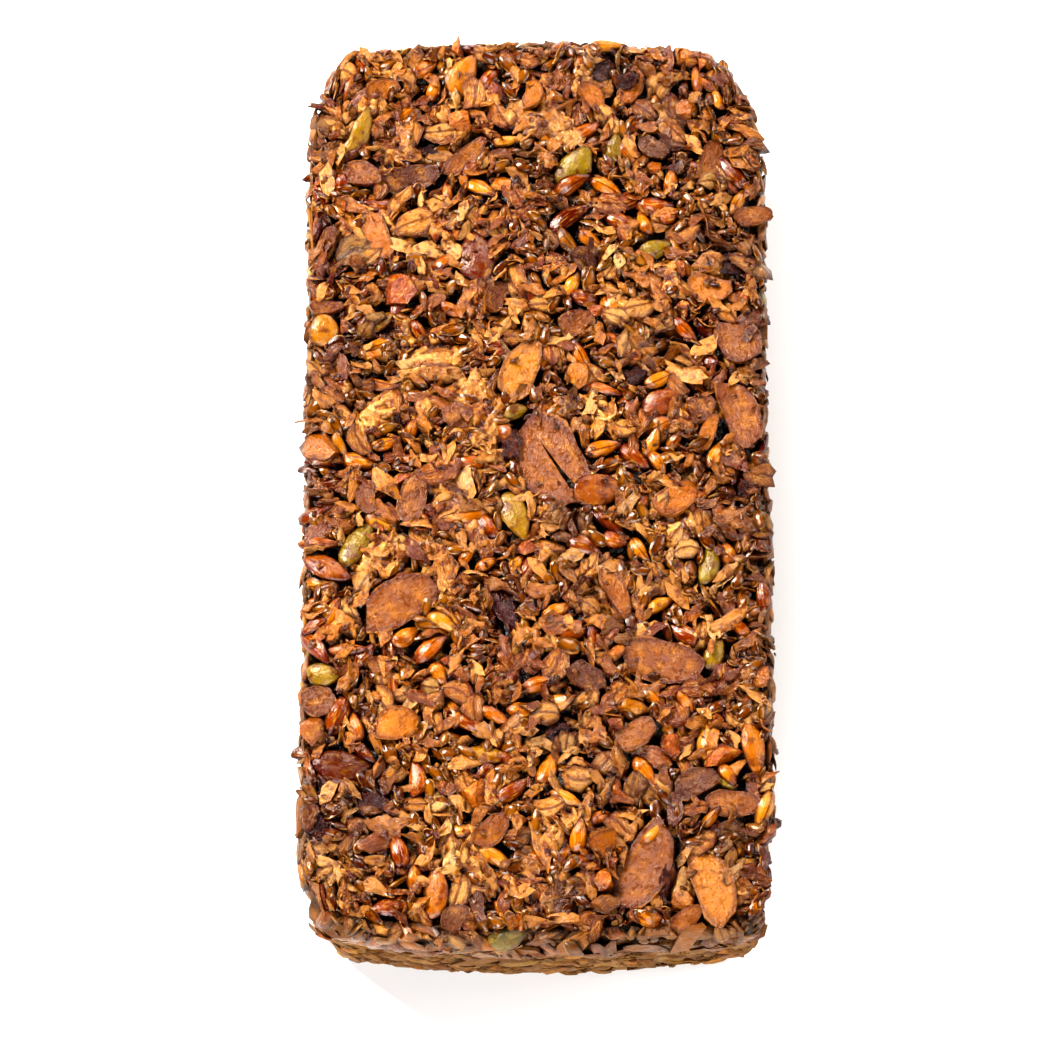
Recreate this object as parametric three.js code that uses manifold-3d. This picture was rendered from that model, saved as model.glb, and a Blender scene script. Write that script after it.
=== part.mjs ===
// A tin-shaped loaf of seeded bread: seeds, nuts and oats bound into one solid block.
// It is one piece, so the dough and every seed and nut on it are joined into one solid.
// Units are millimetres. The origin is under the middle of the base, +Z is up, the loaf's
// length runs along Y, and the end that the photograph shows faces -Y.
import * as THREE from "three";
import { mergeVertices } from "three/addons/utils/BufferGeometryUtils.js";
import Module from "manifold-3d";

// Driving dimensions: the dough without the seeds that stand out of it
const LENGTH = 227; // at the corners
const WIDTH = 116.4;
const HEIGHT = 57;
const END_BOW = 5; // how far the middle of each end stands out past its corners
const DRAW_IN = 1.7; // how far each wall draws in from the rim down to the base, as in the tin
const RIM_ROUND = 5; // radius of the top's edge
const BASE_ROUND = 3; // radius of the base's edge
const TOP_LUMPS = 1.2; // how far the top rises and falls
const WALL_LUMPS = 0.35; // the walls were pressed flat by the tin
const GRID = { across: 11, along: 22, up: 6 }; // faces of the dough's surface

// Upright corners: how far each takes from the end and from the side
const CORNERS = {
  farLeft: { end: 12, side: 30 },
  farRight: { end: 17, side: 30 },
  nearLeft: { end: 11, side: 16 },
  nearRight: { end: 5, side: 6 },
};

// The near right corner broke away along its top when the loaf left the tin.
const BREAK = { x: 48, y: -101, slant: 10, slope: 0.15, shelf: 3.5 };

// What is baked into the loaf: length, width and thickness of each kind
const SUNFLOWER = { length: 8.8, width: 4.3, thick: 3.2 };
const NUT = { length: 6.2, width: 4.8, thick: 3.8 };
const OAT = { length: 7.4, width: 5.2, thick: 1.8 };
const FLAX = { length: 4.8, width: 2.6, thick: 1.5 };
const PUMPKIN_THICK = 2.8;
const ALMOND_THICK = 1.5;
const FRUIT_THICK = 4.6;

// The largest pieces on the top, where the photograph shows them.
// Each row: middle x, middle y, length, width, turn in degrees from +X.
const ALMOND_SLICES = [
  [3.5, 2.5, 24, 14, -60], [-34.5, -34.5, 22, 10.5, 30], [31, -49.5, 22, 10, -15],
  [26, -102, 22, 11.5, 60], [42.5, -107, 20, 9, -72], [51, 15.5, 20, 9, -68],
  [51, 35, 13, 11, -65], [-4, 27, 17, 9, 65], [-32.5, 79.8, 15.5, 7, 5],
  [-44.8, 80.5, 12, 6, -20], [-41.5, -92, 14, 11, 80], [48, -86, 13, 5.5, -10],
  [39, -81, 11, 7, 20], [24.5, -68.5, 10, 7, 30], [45, 85, 14, 5.5, 72],
  [-40.5, 64, 14, 6, -70], [-31, -7, 13, 6, 75], [35, -7, 12, 8, 40],
  [-53.3, -60, 9, 8, 20], [-34.5, -66, 13, 8, 15], [44, 49.5, 12, 7, -10],
];
const PUMPKIN_SEEDS = [
  [-19.2, 107.8, 11.5, 7.2, 67], [-46.1, 91.5, 14, 6.3, 65], [9.8, 82.5, 12, 8.5, 50],
  [-15.5, 58.3, 14.5, 9.5, 95], [-53.6, 38, 9, 7.6, 90], [15.5, -5, 14, 8.5, 10],
  [-45, -19, 14.5, 6.4, 60], [-52.4, -25.5, 12.5, 6, -25], [-5.5, -11.5, 12, 6.5, -65],
  [42.8, -24.5, 11, 5.2, 80], [44, -48, 8.5, 5.2, 70], [31, 18, 11, 7, 35],
  [-48, -76.5, 14, 8.5, 8], [53.2, -72, 14, 5.6, -80], [-12.5, -73.7, 10.5, 5, -5],
  [-25, -108.5, 13, 6.5, 80], [-53, -53, 9, 6, 0], [46.5, -79.5, 7.5, 4.4, -65],
];
const DRIED_FRUIT = [[-40, -85.5, 8, 6, 20], [34.5, 101, 9, 6, 40], [-8, -35, 16, 6, -65], [-7, 7, 8, 7, 70]];
// Seeds that stand out past the rim, and how high their middles lie
const OVERHANGS = [
  [18.5, 117.5, 10, 5, 5, 3], [22, 116.5, 9, 6, 80, 4], [-53.5, -19, 13, 4, 3, 1.5],
  [55.5, 70.5, 12, 5, 18, 2], [-9.5, 116.5, 8, 5, 20, 4], [-26, 114.8, 9, 4.5, -10, 4],
  [2, 116, 8, 5, 40, 5], [-55.5, -76, 9, 5, 100, 3], [56.3, -32, 9, 4.5, 95, 3],
  [-56, 44, 9, 5, 80, 3], [56.2, 44, 9, 5, 100, 4], [-55.8, 8, 8, 5, 60, 3],
];
const GAPS = [
  [-6.5, -31], [-25, -25], [-43, -54], [26, -3.5],
  [22, -40.5], [21.5, -57], [51, -29], [-49, -84.5],
];
const GAP_ROUND = 2.6; // radius of the dark gaps between pieces
const GAP_DEEP = 4.5;

const TOP_CELL = 13.6; // at most one rule-placed piece to each cell of the top
const WALL_CELL = { along: 23, up: 16 };
const WALL_SINK = 0.7; // how far the middle of a wall's seed lies under its skin
const SLOPE = 0.2; // most lean of a piece that lies on the top, in radians

const wasm = await Module();
wasm.setup();

let seed = 20417;
// The next of a fixed run of draws, from 0 up to 1.
function draw() {
  seed = (Math.imul(seed, 1664525) + 1013904223) >>> 0;
  return seed / 4294967296;
}
const between = (low, high) => low + (high - low) * draw();

// Smooth hills and hollows, from -1 to 1, some 20 mm from crest to crest.
function hills(x, y, z) {
  const bent = Math.sin(x / 5.9 + 1.3 * Math.sin(y / 9.1 + z / 7));
  const broad = bent * Math.cos(y / 6.7 + 1.1 * Math.sin(x / 8.3));
  const narrow = Math.sin(x / 2.9 + y / 4.1 + z / 3.3) * Math.cos(y / 3.2 - x / 5.1);
  return 0.65 * broad + 0.35 * narrow;
}

// The rise of the top over HEIGHT at x, y.
const topRise = (x, y) => TOP_LUMPS * hills(x, y, 0);

// Brings a point of a square corner, a by b from the corner's centre, onto the round one.
function roundOff(a, b) {
  const scale = Math.max(a, b) / Math.hypot(a, b);
  return [a * scale, b * scale];
}

function cornerAt(x, y) {
  if (y > 0) return x < 0 ? CORNERS.farLeft : CORNERS.farRight;
  return x < 0 ? CORNERS.nearLeft : CORNERS.nearRight;
}

// Takes a point of the plain block, z from 0 to HEIGHT, to its place on the loaf.
function shapeLoaf(block) {
  let x = Math.abs(block.x);
  let y = Math.abs(block.y);
  let z = block.z;
  // the rim and the base's edge
  const isTop = z > HEIGHT / 2;
  const edge = isTop ? RIM_ROUND : BASE_ROUND;
  const out = edge - Math.min(WIDTH / 2 - x, LENGTH / 2 - y);
  const up = isTop ? z - (HEIGHT - edge) : edge - z;
  let pull = 0;
  if (out > 0 && up > 0) {
    const [roundOut, roundUp] = roundOff(out, up);
    pull = out - roundOut;
    z = isTop ? HEIGHT - edge + roundUp : edge - roundUp;
  }
  // the upright corners
  const corner = cornerAt(block.x, block.y);
  const fromX = WIDTH / 2 - corner.end;
  const fromY = LENGTH / 2 - corner.side;
  if (x > fromX && y > fromY) {
    const [cx, cy] = roundOff((x - fromX) / corner.end, (y - fromY) / corner.side);
    x = fromX + corner.end * cx;
    y = fromY + corner.side * cy;
  }
  // the tin's slope and the bowed ends
  const inward = pull + DRAW_IN * (1 - z / HEIGHT);
  y *= 1 + (END_BOW * (1 - (2 * x) ** 2 / WIDTH ** 2)) / (LENGTH / 2);
  x *= 1 - inward / (WIDTH / 2);
  y *= 1 - inward / (LENGTH / 2);
  return new THREE.Vector3(Math.sign(block.x) * x, Math.sign(block.y) * y, z);
}

// A grid line's place, from -half to half, with the outermost lines moved in to the round edge.
function spread(place, half, faces, edge) {
  const inner = 1 - 2 / faces;
  const part = Math.abs(place) / half;
  const moved = part <= inner ? (part / inner) * (half - edge) : half - edge * ((1 - part) / (1 - inner));
  return Math.sign(place) * moved;
}

function solidOf(geometry) {
  geometry.deleteAttribute("normal");
  geometry.deleteAttribute("uv");
  const merged = mergeVertices(geometry, 1e-3);
  const vertProperties = merged.attributes.position.array;
  const triVerts = new Uint32Array(merged.index.array);
  return new wasm.Manifold(new wasm.Mesh({ numProp: 3, vertProperties, triVerts }));
}

// The dough: a block with round corners and edges, an uneven top and a flat base.
function dough() {
  const block = new THREE.BoxGeometry(WIDTH, LENGTH, HEIGHT, GRID.across, GRID.along, GRID.up);
  const place = block.attributes.position;
  for (let i = 0; i < place.count; i++) {
    const isTop = place.getZ(i) > HEIGHT / 2 - 1e-3;
    const p = shapeLoaf(
      new THREE.Vector3(
        spread(place.getX(i), WIDTH / 2, GRID.across, RIM_ROUND),
        spread(place.getY(i), LENGTH / 2, GRID.along, RIM_ROUND),
        spread(place.getZ(i), HEIGHT / 2, GRID.up, BASE_ROUND) + HEIGHT / 2,
      ),
    );
    const grown = 1 + (WALL_LUMPS * Math.min(1, p.z / BASE_ROUND) * hills(p.y, 1.5 * p.z, p.x)) / (WIDTH / 2);
    const rise = isTop ? topRise(p.x, p.y) : 0;
    place.setXYZ(i, p.x * grown, p.y * grown, p.z + rise);
  }
  return solidOf(block);
}

// The wedge that broke off the near right corner.
function brokenOff() {
  const { x, y, slant, slope, shelf } = BREAK;
  const away = WIDTH / 2 + 20;
  const corners = [
    [x + shelf, y - 30],
    [away, y - 30],
    [away, y + slant],
    [x + slant, y + slant],
    [x, y],
    [x + shelf, y - slant],
  ];
  const shape = new THREE.Shape(corners.map(([cx, cy]) => new THREE.Vector2(cx, cy)));
  const wedge = new THREE.ExtrudeGeometry(shape, { depth: HEIGHT + 20, bevelEnabled: false });
  const place = wedge.attributes.position;
  for (let i = 0; i < place.count; i++) place.setX(i, place.getX(i) + slope * (HEIGHT - place.getZ(i)));
  return solidOf(wedge);
}

const isBroken = (x, y) => x > BREAK.x - SUNFLOWER.width && y < BREAK.y + BREAK.slant;

// A rounded seed or nut, lying along X: full at one end, drawn to a point at the other.
function kernel(length, width, thick, sides = 6, rings = 3) {
  const shape = new THREE.SphereGeometry(1, sides, rings).rotateZ(-Math.PI / 2);
  const place = shape.attributes.position;
  for (let i = 0; i < place.count; i++) {
    const along = place.getX(i);
    const full = 1 - 0.28 * along;
    const y = (place.getY(i) * full * width) / 2;
    const z = (place.getZ(i) * full * thick) / 2;
    place.setXYZ(i, (along * length) / 2, y, z);
  }
  return shape;
}

// A slice of almond: a thin leaf-shaped disc.
function slice(length, width, thick, sides = 10) {
  const shape = new THREE.CylinderGeometry(1, 0.94, thick, sides).rotateX(Math.PI / 2);
  const place = shape.attributes.position;
  for (let i = 0; i < place.count; i++) {
    const along = place.getX(i);
    const full = 1 - 0.2 * along;
    place.setXY(i, (along * length) / 2, (place.getY(i) * full * width) / 2);
  }
  return shape;
}

// Lays a shape on the skin at a point: its flat side faces out, then it is rolled, leant and turned.
function laid(shape, point, out, turn, lean, roll) {
  const isLevel = Math.abs(out.z) > 0.9;
  const level = isLevel ? new THREE.Vector3(1, 0, 0) : new THREE.Vector3(0, 0, 1).cross(out).normalize();
  const side = out.clone().cross(level).normalize();
  const basis = new THREE.Matrix4().makeBasis(side.clone().cross(out), side, out);
  const spin = new THREE.Matrix4().makeRotationFromEuler(new THREE.Euler(roll, lean, turn, "ZYX"));
  return shape.applyMatrix4(new THREE.Matrix4().setPosition(point).multiply(basis).multiply(spin));
}

// Lays a shape on the top, its middle a little over the dough.
function onTop(shape, x, y, turn, rise) {
  const point = new THREE.Vector3(x, y, HEIGHT + topRise(x, y) + rise);
  const up = new THREE.Vector3(0, 0, 1);
  return laid(shape, point, up, turn, between(-SLOPE, SLOPE), between(-SLOPE, SLOPE));
}

function shownPieces() {
  const { degToRad } = THREE.MathUtils;
  const slices = ALMOND_SLICES.map(([x, y, long, wide, turn]) =>
    onTop(slice(long, wide, ALMOND_THICK), x, y, degToRad(turn), 0.7),
  );
  const pumpkins = PUMPKIN_SEEDS.map(([x, y, long, wide, turn]) =>
    onTop(kernel(long, wide, PUMPKIN_THICK, 8), x, y, degToRad(turn), 0.7),
  );
  const fruits = DRIED_FRUIT.map(([x, y, long, wide, turn]) =>
    onTop(kernel(long, wide, FRUIT_THICK, 7), x, y, degToRad(turn), 0.5),
  );
  const overhangs = OVERHANGS.map(([x, y, long, wide, turn, drop]) =>
    onTop(kernel(long, wide, wide), x, y, degToRad(turn), -drop),
  );
  return [...slices, ...pumpkins, ...fruits, ...overhangs];
}

// Kinds for the rule-placed pieces, most of them sunflower seeds.
const MIX = [SUNFLOWER, OAT, SUNFLOWER, NUT, SUNFLOWER, FLAX, SUNFLOWER, NUT];

function grainShape(grain) {
  const size = between(0.88, 1.14);
  return kernel(grain.length * size, grain.width * size, grain.thick * size);
}

// Seeds, oats and nuts over the rest of the top, one to a cell.
function topScatter() {
  const taken = [...ALMOND_SLICES, ...PUMPKIN_SEEDS, ...DRIED_FRUIT];
  const made = [];
  const columns = Math.floor((WIDTH - 8) / TOP_CELL);
  const rows = Math.floor((LENGTH - 2) / TOP_CELL);
  let count = 0;
  for (let row = 0; row < rows; row++)
    for (let column = 0; column < columns; column++) {
      const x = (column - (columns - 1) / 2 + between(-0.35, 0.35)) * TOP_CELL;
      const y = (row - (rows - 1) / 2 + between(-0.35, 0.35)) * TOP_CELL;
      const turn = between(-Math.PI, Math.PI);
      const grain = MIX[count++ % MIX.length];
      const isFree = taken.every(
        ([tx, ty, long, wide]) => Math.hypot(x - tx, y - ty) > (long + wide) / 4 + grain.width / 2,
      );
      if (isFree && !isBroken(x, y)) made.push(onTop(grainShape(grain), x, y, turn, 0.35));
    }
  return made;
}

// Seeds in the walls, lying level as they settled, some with a face to the wall and some edge on.
function wallScatter() {
  const ends = [-1, 1].map((way) => ({
    wide: WIDTH,
    at: (along, up) => new THREE.Vector3(along, (way * LENGTH) / 2, up),
  }));
  const sides = [-1, 1].map((way) => ({
    wide: LENGTH,
    at: (along, up) => new THREE.Vector3((way * WIDTH) / 2, along, up),
  }));
  const made = [];
  let count = 0;
  for (const { wide, at } of [...ends, ...sides]) {
    const columns = Math.round((wide - 16) / WALL_CELL.along);
    const rows = Math.round((HEIGHT - 12) / WALL_CELL.up);
    for (let row = 0; row < rows; row++)
      for (let column = 0; column < columns; column++) {
        const along = (column - (columns - 1) / 2 + between(-0.35, 0.35)) * WALL_CELL.along;
        const up = 10 + (row + between(-0.2, 0.3)) * WALL_CELL.up;
        const grain = MIX[count++ % MIX.length];
        const roll = draw() < 0.5 ? between(0.9, 1.5) : between(-0.2, 0.2);
        const point = shapeLoaf(at(along, up));
        const alongStep = shapeLoaf(at(along + 1, up)).sub(point);
        const out = alongStep.cross(shapeLoaf(at(along, up + 1)).sub(point)).normalize();
        if (out.dot(point) < 0) out.negate();
        const turn = between(-0.35, 0.35);
        const lean = between(-0.1, 0.1);
        if (isBroken(point.x, point.y)) continue;
        point.addScaledVector(out, -WALL_SINK);
        made.push(laid(grainShape(grain), point, out, turn, lean, roll));
      }
  }
  return made;
}

function gaps() {
  return GAPS.map(([x, y]) =>
    new THREE.SphereGeometry(1, 6, 4)
      .scale(GAP_ROUND * between(0.8, 1.3), GAP_ROUND, GAP_DEEP)
      .rotateZ(between(0, Math.PI))
      .translate(x, y, HEIGHT + topRise(x, y)),
  );
}

// Joins everything into one solid, without loose scraps.
function loaf() {
  let whole = dough().subtract(brokenOff());
  for (const gap of gaps()) whole = whole.subtract(solidOf(gap));
  const pieces = [...shownPieces(), ...topScatter(), ...wallScatter()];
  for (const piece of pieces) whole = whole.add(solidOf(piece));
  const largest = whole.decompose().sort((a, b) => b.volume() - a.volume())[0];
  const { vertProperties, triVerts } = largest.getMesh();
  const geometry = new THREE.BufferGeometry();
  geometry.setAttribute("position", new THREE.BufferAttribute(vertProperties, 3));
  geometry.setIndex(new THREE.BufferAttribute(triVerts, 1));
  geometry.computeVertexNormals();
  const crust = new THREE.MeshStandardMaterial({ color: 0x9a5e33, roughness: 0.45, metalness: 0 });
  const mesh = new THREE.Mesh(geometry, crust);
  mesh.name = "loaf";
  return mesh;
}

const bread = new THREE.Group();
bread.add(loaf());

export default bread;
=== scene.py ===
import math

import bmesh
import bpy
import numpy as np
from mathutils import Matrix, Vector


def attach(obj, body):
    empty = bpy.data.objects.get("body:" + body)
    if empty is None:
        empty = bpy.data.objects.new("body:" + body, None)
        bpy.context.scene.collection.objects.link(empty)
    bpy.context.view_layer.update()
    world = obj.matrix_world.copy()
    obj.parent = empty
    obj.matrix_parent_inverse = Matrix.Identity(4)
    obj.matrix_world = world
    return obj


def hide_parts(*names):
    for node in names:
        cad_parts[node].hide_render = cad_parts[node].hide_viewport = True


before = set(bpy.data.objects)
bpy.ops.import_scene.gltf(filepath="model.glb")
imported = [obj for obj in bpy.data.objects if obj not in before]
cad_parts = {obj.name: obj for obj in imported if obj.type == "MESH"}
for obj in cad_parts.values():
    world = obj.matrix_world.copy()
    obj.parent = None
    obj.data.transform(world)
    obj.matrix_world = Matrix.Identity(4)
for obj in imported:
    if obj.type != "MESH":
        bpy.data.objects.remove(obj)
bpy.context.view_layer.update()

# ----------
# The loaf's body: a dense crumb of soaked oats, ground seeds and syrup that
# set in a tin, which pressed its walls and its base flat. It carries all the
# pieces below, and shows between them in the walls.

# Everything below is in millimetres, and a mesh is turned to metres as it is made.
MM = 0.001
LENGTH = 227.0  # at the corners
WIDTH = 116.4
HEIGHT = 57.0
END_BOW = 5.0  # how far the middle of each end stands out past its corners
DRAW_IN = 1.7  # how far each wall draws in from the rim down to the base
RIM_ROUND = 5.0
BASE_ROUND = 3.0
TOP_LUMPS = 1.2
# Upright corners: how much each takes off the end and off the side
FAR_LEFT, FAR_RIGHT = (12.0, 30.0), (17.0, 30.0)
NEAR_LEFT, NEAR_RIGHT = (11.0, 16.0), (5.0, 6.0)
# The near right corner broke away along its top when the loaf left the tin.
BREAK_X, BREAK_Y, BREAK_SLANT, BREAK_SLOPE, BREAK_SHELF = 48.0, -101.0, 10.0, 0.15, 3.5


def smooth(low, high, value):
    part = np.clip((value - low) / (high - low), 0, 1)
    return part * part * (3 - 2 * part)


# Large primes and the bits that are kept: they make a lattice's numbers look random.
MIX_X, MIX_Y, MIX_Z, MIX_SALT = 374761393, 668265263, 1440662683, 1274126177
LOW_BITS, FEW_BITS = 0x7FFFFFFF, 0xFFFF
FROM_ZERO = 512.37  # moves the lattice so that no even number of millimetres falls on it


def lattice(ix, iy, iz, salt):
    """A fixed random number from -1 to 1 for each point of a whole-number lattice."""
    mixed = ix * MIX_X + iy * MIX_Y + iz * MIX_Z + salt * MIX_SALT
    mixed = (((mixed ^ (mixed >> 13)) & LOW_BITS) * MIX_SALT) & LOW_BITS
    mixed = (mixed ^ (mixed >> 16)) & FEW_BITS
    return mixed / (FEW_BITS / 2) - 1


def noise(x, y, z, size, salt):
    """Smooth noise from -1 to 1 whose lumps are about the given size across."""
    x, y, z = np.broadcast_arrays(x, y, z)
    cells, parts = [], []
    for axis in (x, y, z):
        scaled = axis / size + FROM_ZERO
        cell = np.floor(scaled)
        part = scaled - cell
        cells.append(cell.astype(np.int64))
        parts.append(part * part * (3 - 2 * part))
    total = np.zeros(x.shape)
    for corner in range(8):
        steps = [(corner >> axis) & 1 for axis in range(3)]
        weight = 1.0
        for part, step in zip(parts, steps):
            weight = weight * (part if step else 1 - part)
        total = total + weight * lattice(*[cell + step for cell, step in zip(cells, steps)], salt)
    return total


def hills(x, y, z):
    """The loaf's broad hills and hollows, from -1 to 1: waves of uneven lengths across each other."""
    bent = np.sin(x / 5.9 + 1.3 * np.sin(y / 9.1 + z / 7))
    broad = bent * np.cos(y / 6.7 + 1.1 * np.sin(x / 8.3))
    narrow = np.sin(x / 2.9 + y / 4.1 + z / 3.3) * np.cos(y / 3.2 - x / 5.1)
    return 0.65 * broad + 0.35 * narrow


def in_plan(x, y):
    """Takes a plain block's plan to the loaf's, with its round corners and bowed ends."""
    ax, ay = np.abs(x), np.abs(y)
    far, right = y > 0, x > 0
    end, side = [
        np.where(far, np.where(right, far_right, far_left), np.where(right, near_right, near_left))
        for far_right, far_left, near_right, near_left in zip(FAR_RIGHT, FAR_LEFT, NEAR_RIGHT, NEAR_LEFT)
    ]
    cx = np.maximum((ax - (WIDTH / 2 - end)) / end, 0)
    cy = np.maximum((ay - (LENGTH / 2 - side)) / side, 0)
    scale = np.maximum(cx, cy) / np.maximum(np.hypot(cx, cy), 1e-9)
    scale = np.where((cx > 0) & (cy > 0), scale, 1)
    ax = np.where(cx > 0, WIDTH / 2 - end + end * cx * scale, ax)
    ay = np.where(cy > 0, LENGTH / 2 - side + side * cy * scale, ay)
    ay = ay * (1 + END_BOW * (1 - (2 * ax / WIDTH) ** 2) / (LENGTH / 2))
    return np.sign(x) * ax, np.sign(y) * ay


def off_the_break(x, y, z, inset=0.0):
    """Holds points back to the slope that is left where the corner broke away."""
    edge = BREAK_X + np.clip(y - BREAK_Y, 0, BREAK_SLANT) + BREAK_SLOPE * (HEIGHT - z)
    edge = edge + BREAK_SHELF * np.clip((BREAK_Y - y) / BREAK_SLANT, 0, 1)
    edge = np.where(y < BREAK_Y + BREAK_SLANT, edge, WIDTH)
    return np.minimum(x, edge - inset)


def shape_loaf(x, y, z):
    """Takes points of a plain block, z from 0 to HEIGHT, to their places on the loaf."""
    is_top = z > HEIGHT / 2
    edge = np.where(is_top, RIM_ROUND, BASE_ROUND)
    out = edge - np.minimum(WIDTH / 2 - np.abs(x), LENGTH / 2 - np.abs(y))
    up = np.where(is_top, z - (HEIGHT - edge), edge - z)
    round_here = (out > 0) & (up > 0)
    scale = np.maximum(out, up) / np.maximum(np.hypot(out, up), 1e-9)
    pull = np.where(round_here, out * (1 - scale), 0)
    z = np.where(round_here, np.where(is_top, HEIGHT - edge + up * scale, edge - up * scale), z)
    inward = pull + DRAW_IN * (1 - z / HEIGHT)
    px, py = in_plan(x, y)
    px = px * (1 - inward / (WIDTH / 2))
    py = py * (1 - inward / (LENGTH / 2))
    return off_the_break(px, py, z), py, z


NEAR_END = (102, 112)  # how far from the middle the near end begins, and is itself in full
RIM_OUT = (1.1, 2.4)  # how far the rim stands out: all round, and more at the near end
RIM_FOOT = (9, 17)  # how far under the top it begins to
RIM_FULL = (4, 7)  # and how far under the top it has come out in full
BEHIND = 0.55  # the share of it that the crumb behind the pieces follows


def stand_out(x, y, z):
    """How far the rims stand out of the pressed walls: most at the near end, which rose over the tin."""
    near = smooth(*NEAR_END, -y)
    ragged = 1 + 0.5 * noise(x, y, z, 5, 17)
    foot = HEIGHT - RIM_FOOT[0] - RIM_FOOT[1] * near
    full = HEIGHT - RIM_FULL[0] - RIM_FULL[1] * near
    return (RIM_OUT[0] + RIM_OUT[1] * near) * ragged * smooth(foot, full, z)


WALL_CRUMB, WALL_MOST = -1.0, 0.1  # where the crumb lies in a pressed wall: on average and at most


def wall_base(x, y, z):
    """How far the crumb's surface stands out of the walls, which the tin pressed flat, in layers."""
    layers = noise(x * 0.3, y * 0.3, z, 1.4, 8)
    level = WALL_CRUMB + 0.45 * noise(x, y, z, 7, 7) + 0.7 * layers + 0.35 * noise(x, y, z, 1.2, 9)
    return np.minimum(level, WALL_MOST) + BEHIND * stand_out(x, y, z)


# Burnt patches of the top: x, y, radius, strength
BURNT = [
    (54, -10, 11, 0.8), (50, 60, 11, 0.9), (-53, -92, 9, 0.7), (17, 112, 9, 0.8), (34, 101, 8, 0.8),
    (-8, -34, 8, 0.7), (-28, 87, 6, 0.8), (-40, -86, 8, 0.8), (45, -92, 6, 0.7), (5, -67, 8, 0.7),
    (25, 26, 6, 0.6), (-6, 8, 6, 0.6), (34, -104, 9, 0.7), (2, 92, 6, 0.7), (44, 103, 6, 0.5),
    (58, 32, 11, 0.7), (58, -22, 12, 0.8), (58, -50, 10, 0.7), (-59, -8, 9, 0.7), (-58, 22, 8, 0.5),
    (56, 76, 11, 0.7), (30, -28, 7, 0.5), (-57, -70, 9, 0.6), (12, -52, 7, 0.5), (-14, -8, 7, 0.5),
]


# Golden patches of the top, where more oats lie: x, y, radius
GOLDEN = [
    (-30, 67, 8), (-41, 63, 7), (-27, 29, 9), (-3, 29, 7), (-41, 14, 8), (-42, -19, 8), (33, -15, 10),
    (42, -42, 6), (-36, -65, 8), (6, -61, 7), (-19, -95, 9), (-21, 107, 6), (-48, 93, 7), (9, 86, 7),
    (21, 54, 8), (-12, 8, 6), (16, 14, 6), (-51, -36, 6), (8, -88, 7), (42, -75, 7), (-51, -105, 6),
    (38, -100, 7), (-4, -40, 5), (44, 74, 6), (24, 38, 8),
]


def golden_at(x, y):
    """How golden the top is at a place, from 0 to 1."""
    golden = 0.3 + 0.3 * noise(x, y, 0, 12, 15)
    for gx, gy, radius in GOLDEN:
        golden = np.maximum(golden, np.exp(-((x - gx) ** 2 + (y - gy) ** 2) / radius**2))
    return golden


def burn_at(x, y, z):
    """How burnt the loaf is at a place, from 0 to 1."""
    drift = noise(x, y, z, 13, 11) + 0.6 * noise(x, y, z, 5, 12)
    burn = 0.7 * smooth(0.25, 0.95, drift)
    for bx, by, radius, strength in BURNT:
        near = np.exp(-(((x - bx) ** 2 + (y - by) ** 2) / radius**2)) * smooth(40, 52, z)
        burn = np.maximum(burn, strength * near * (0.75 + 0.35 * noise(x, y, z, 3, 13)))
    return np.clip(burn, 0, 1)


def set_values(mesh, name, values):
    kind = "FLOAT" if values.ndim == 1 else "FLOAT_VECTOR"
    layer = mesh.attributes.new(name, kind, "POINT")
    layer.data.foreach_set("value" if values.ndim == 1 else "vector", values.astype(np.float32).ravel())


def read_points(mesh, what="co"):
    values = np.empty(len(mesh.vertices) * 3, dtype=np.float32)
    mesh.vertices.foreach_get(what, values)
    return values.reshape(-1, 3).astype(float)


def move_points(mesh, places):
    mesh.vertices.foreach_set("co", places.astype(np.float32).ravel())
    mesh.update()


def block_mesh(name, across, along, up):
    """A closed block one unit each way, centred over the origin, its top at z = 0."""
    bm = bmesh.new()
    bmesh.ops.create_grid(bm, x_segments=across, y_segments=along, size=0.5)
    rim = [edge for edge in bm.edges if edge.is_boundary]
    for _ in range(up):
        ring = bmesh.ops.extrude_edge_only(bm, edges=rim)["geom"]
        lower = [item for item in ring if isinstance(item, bmesh.types.BMVert)]
        bmesh.ops.translate(bm, verts=lower, vec=(0, 0, -1 / up))
        rim = [item for item in ring if isinstance(item, bmesh.types.BMEdge) and item.is_boundary]
    bmesh.ops.contextual_create(bm, geom=rim)
    bmesh.ops.triangulate(bm, faces=bm.faces)
    bmesh.ops.recalc_face_normals(bm, faces=bm.faces)
    mesh = bpy.data.meshes.new(name)
    bm.to_mesh(mesh)
    bm.free()
    return mesh


BODY_CELLS = (146, 292, 58)  # across, along and up
BODY_TOP = -4.6  # the body's top under the loaf's top, hidden by the pieces and the crust
BODY_FOOT = 0.35  # its base, over the table on which the pieces of the base rest
PRESSED_LEAST = 0.4  # the walls' rims are this dull and pale, their pressed parts fully so


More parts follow.
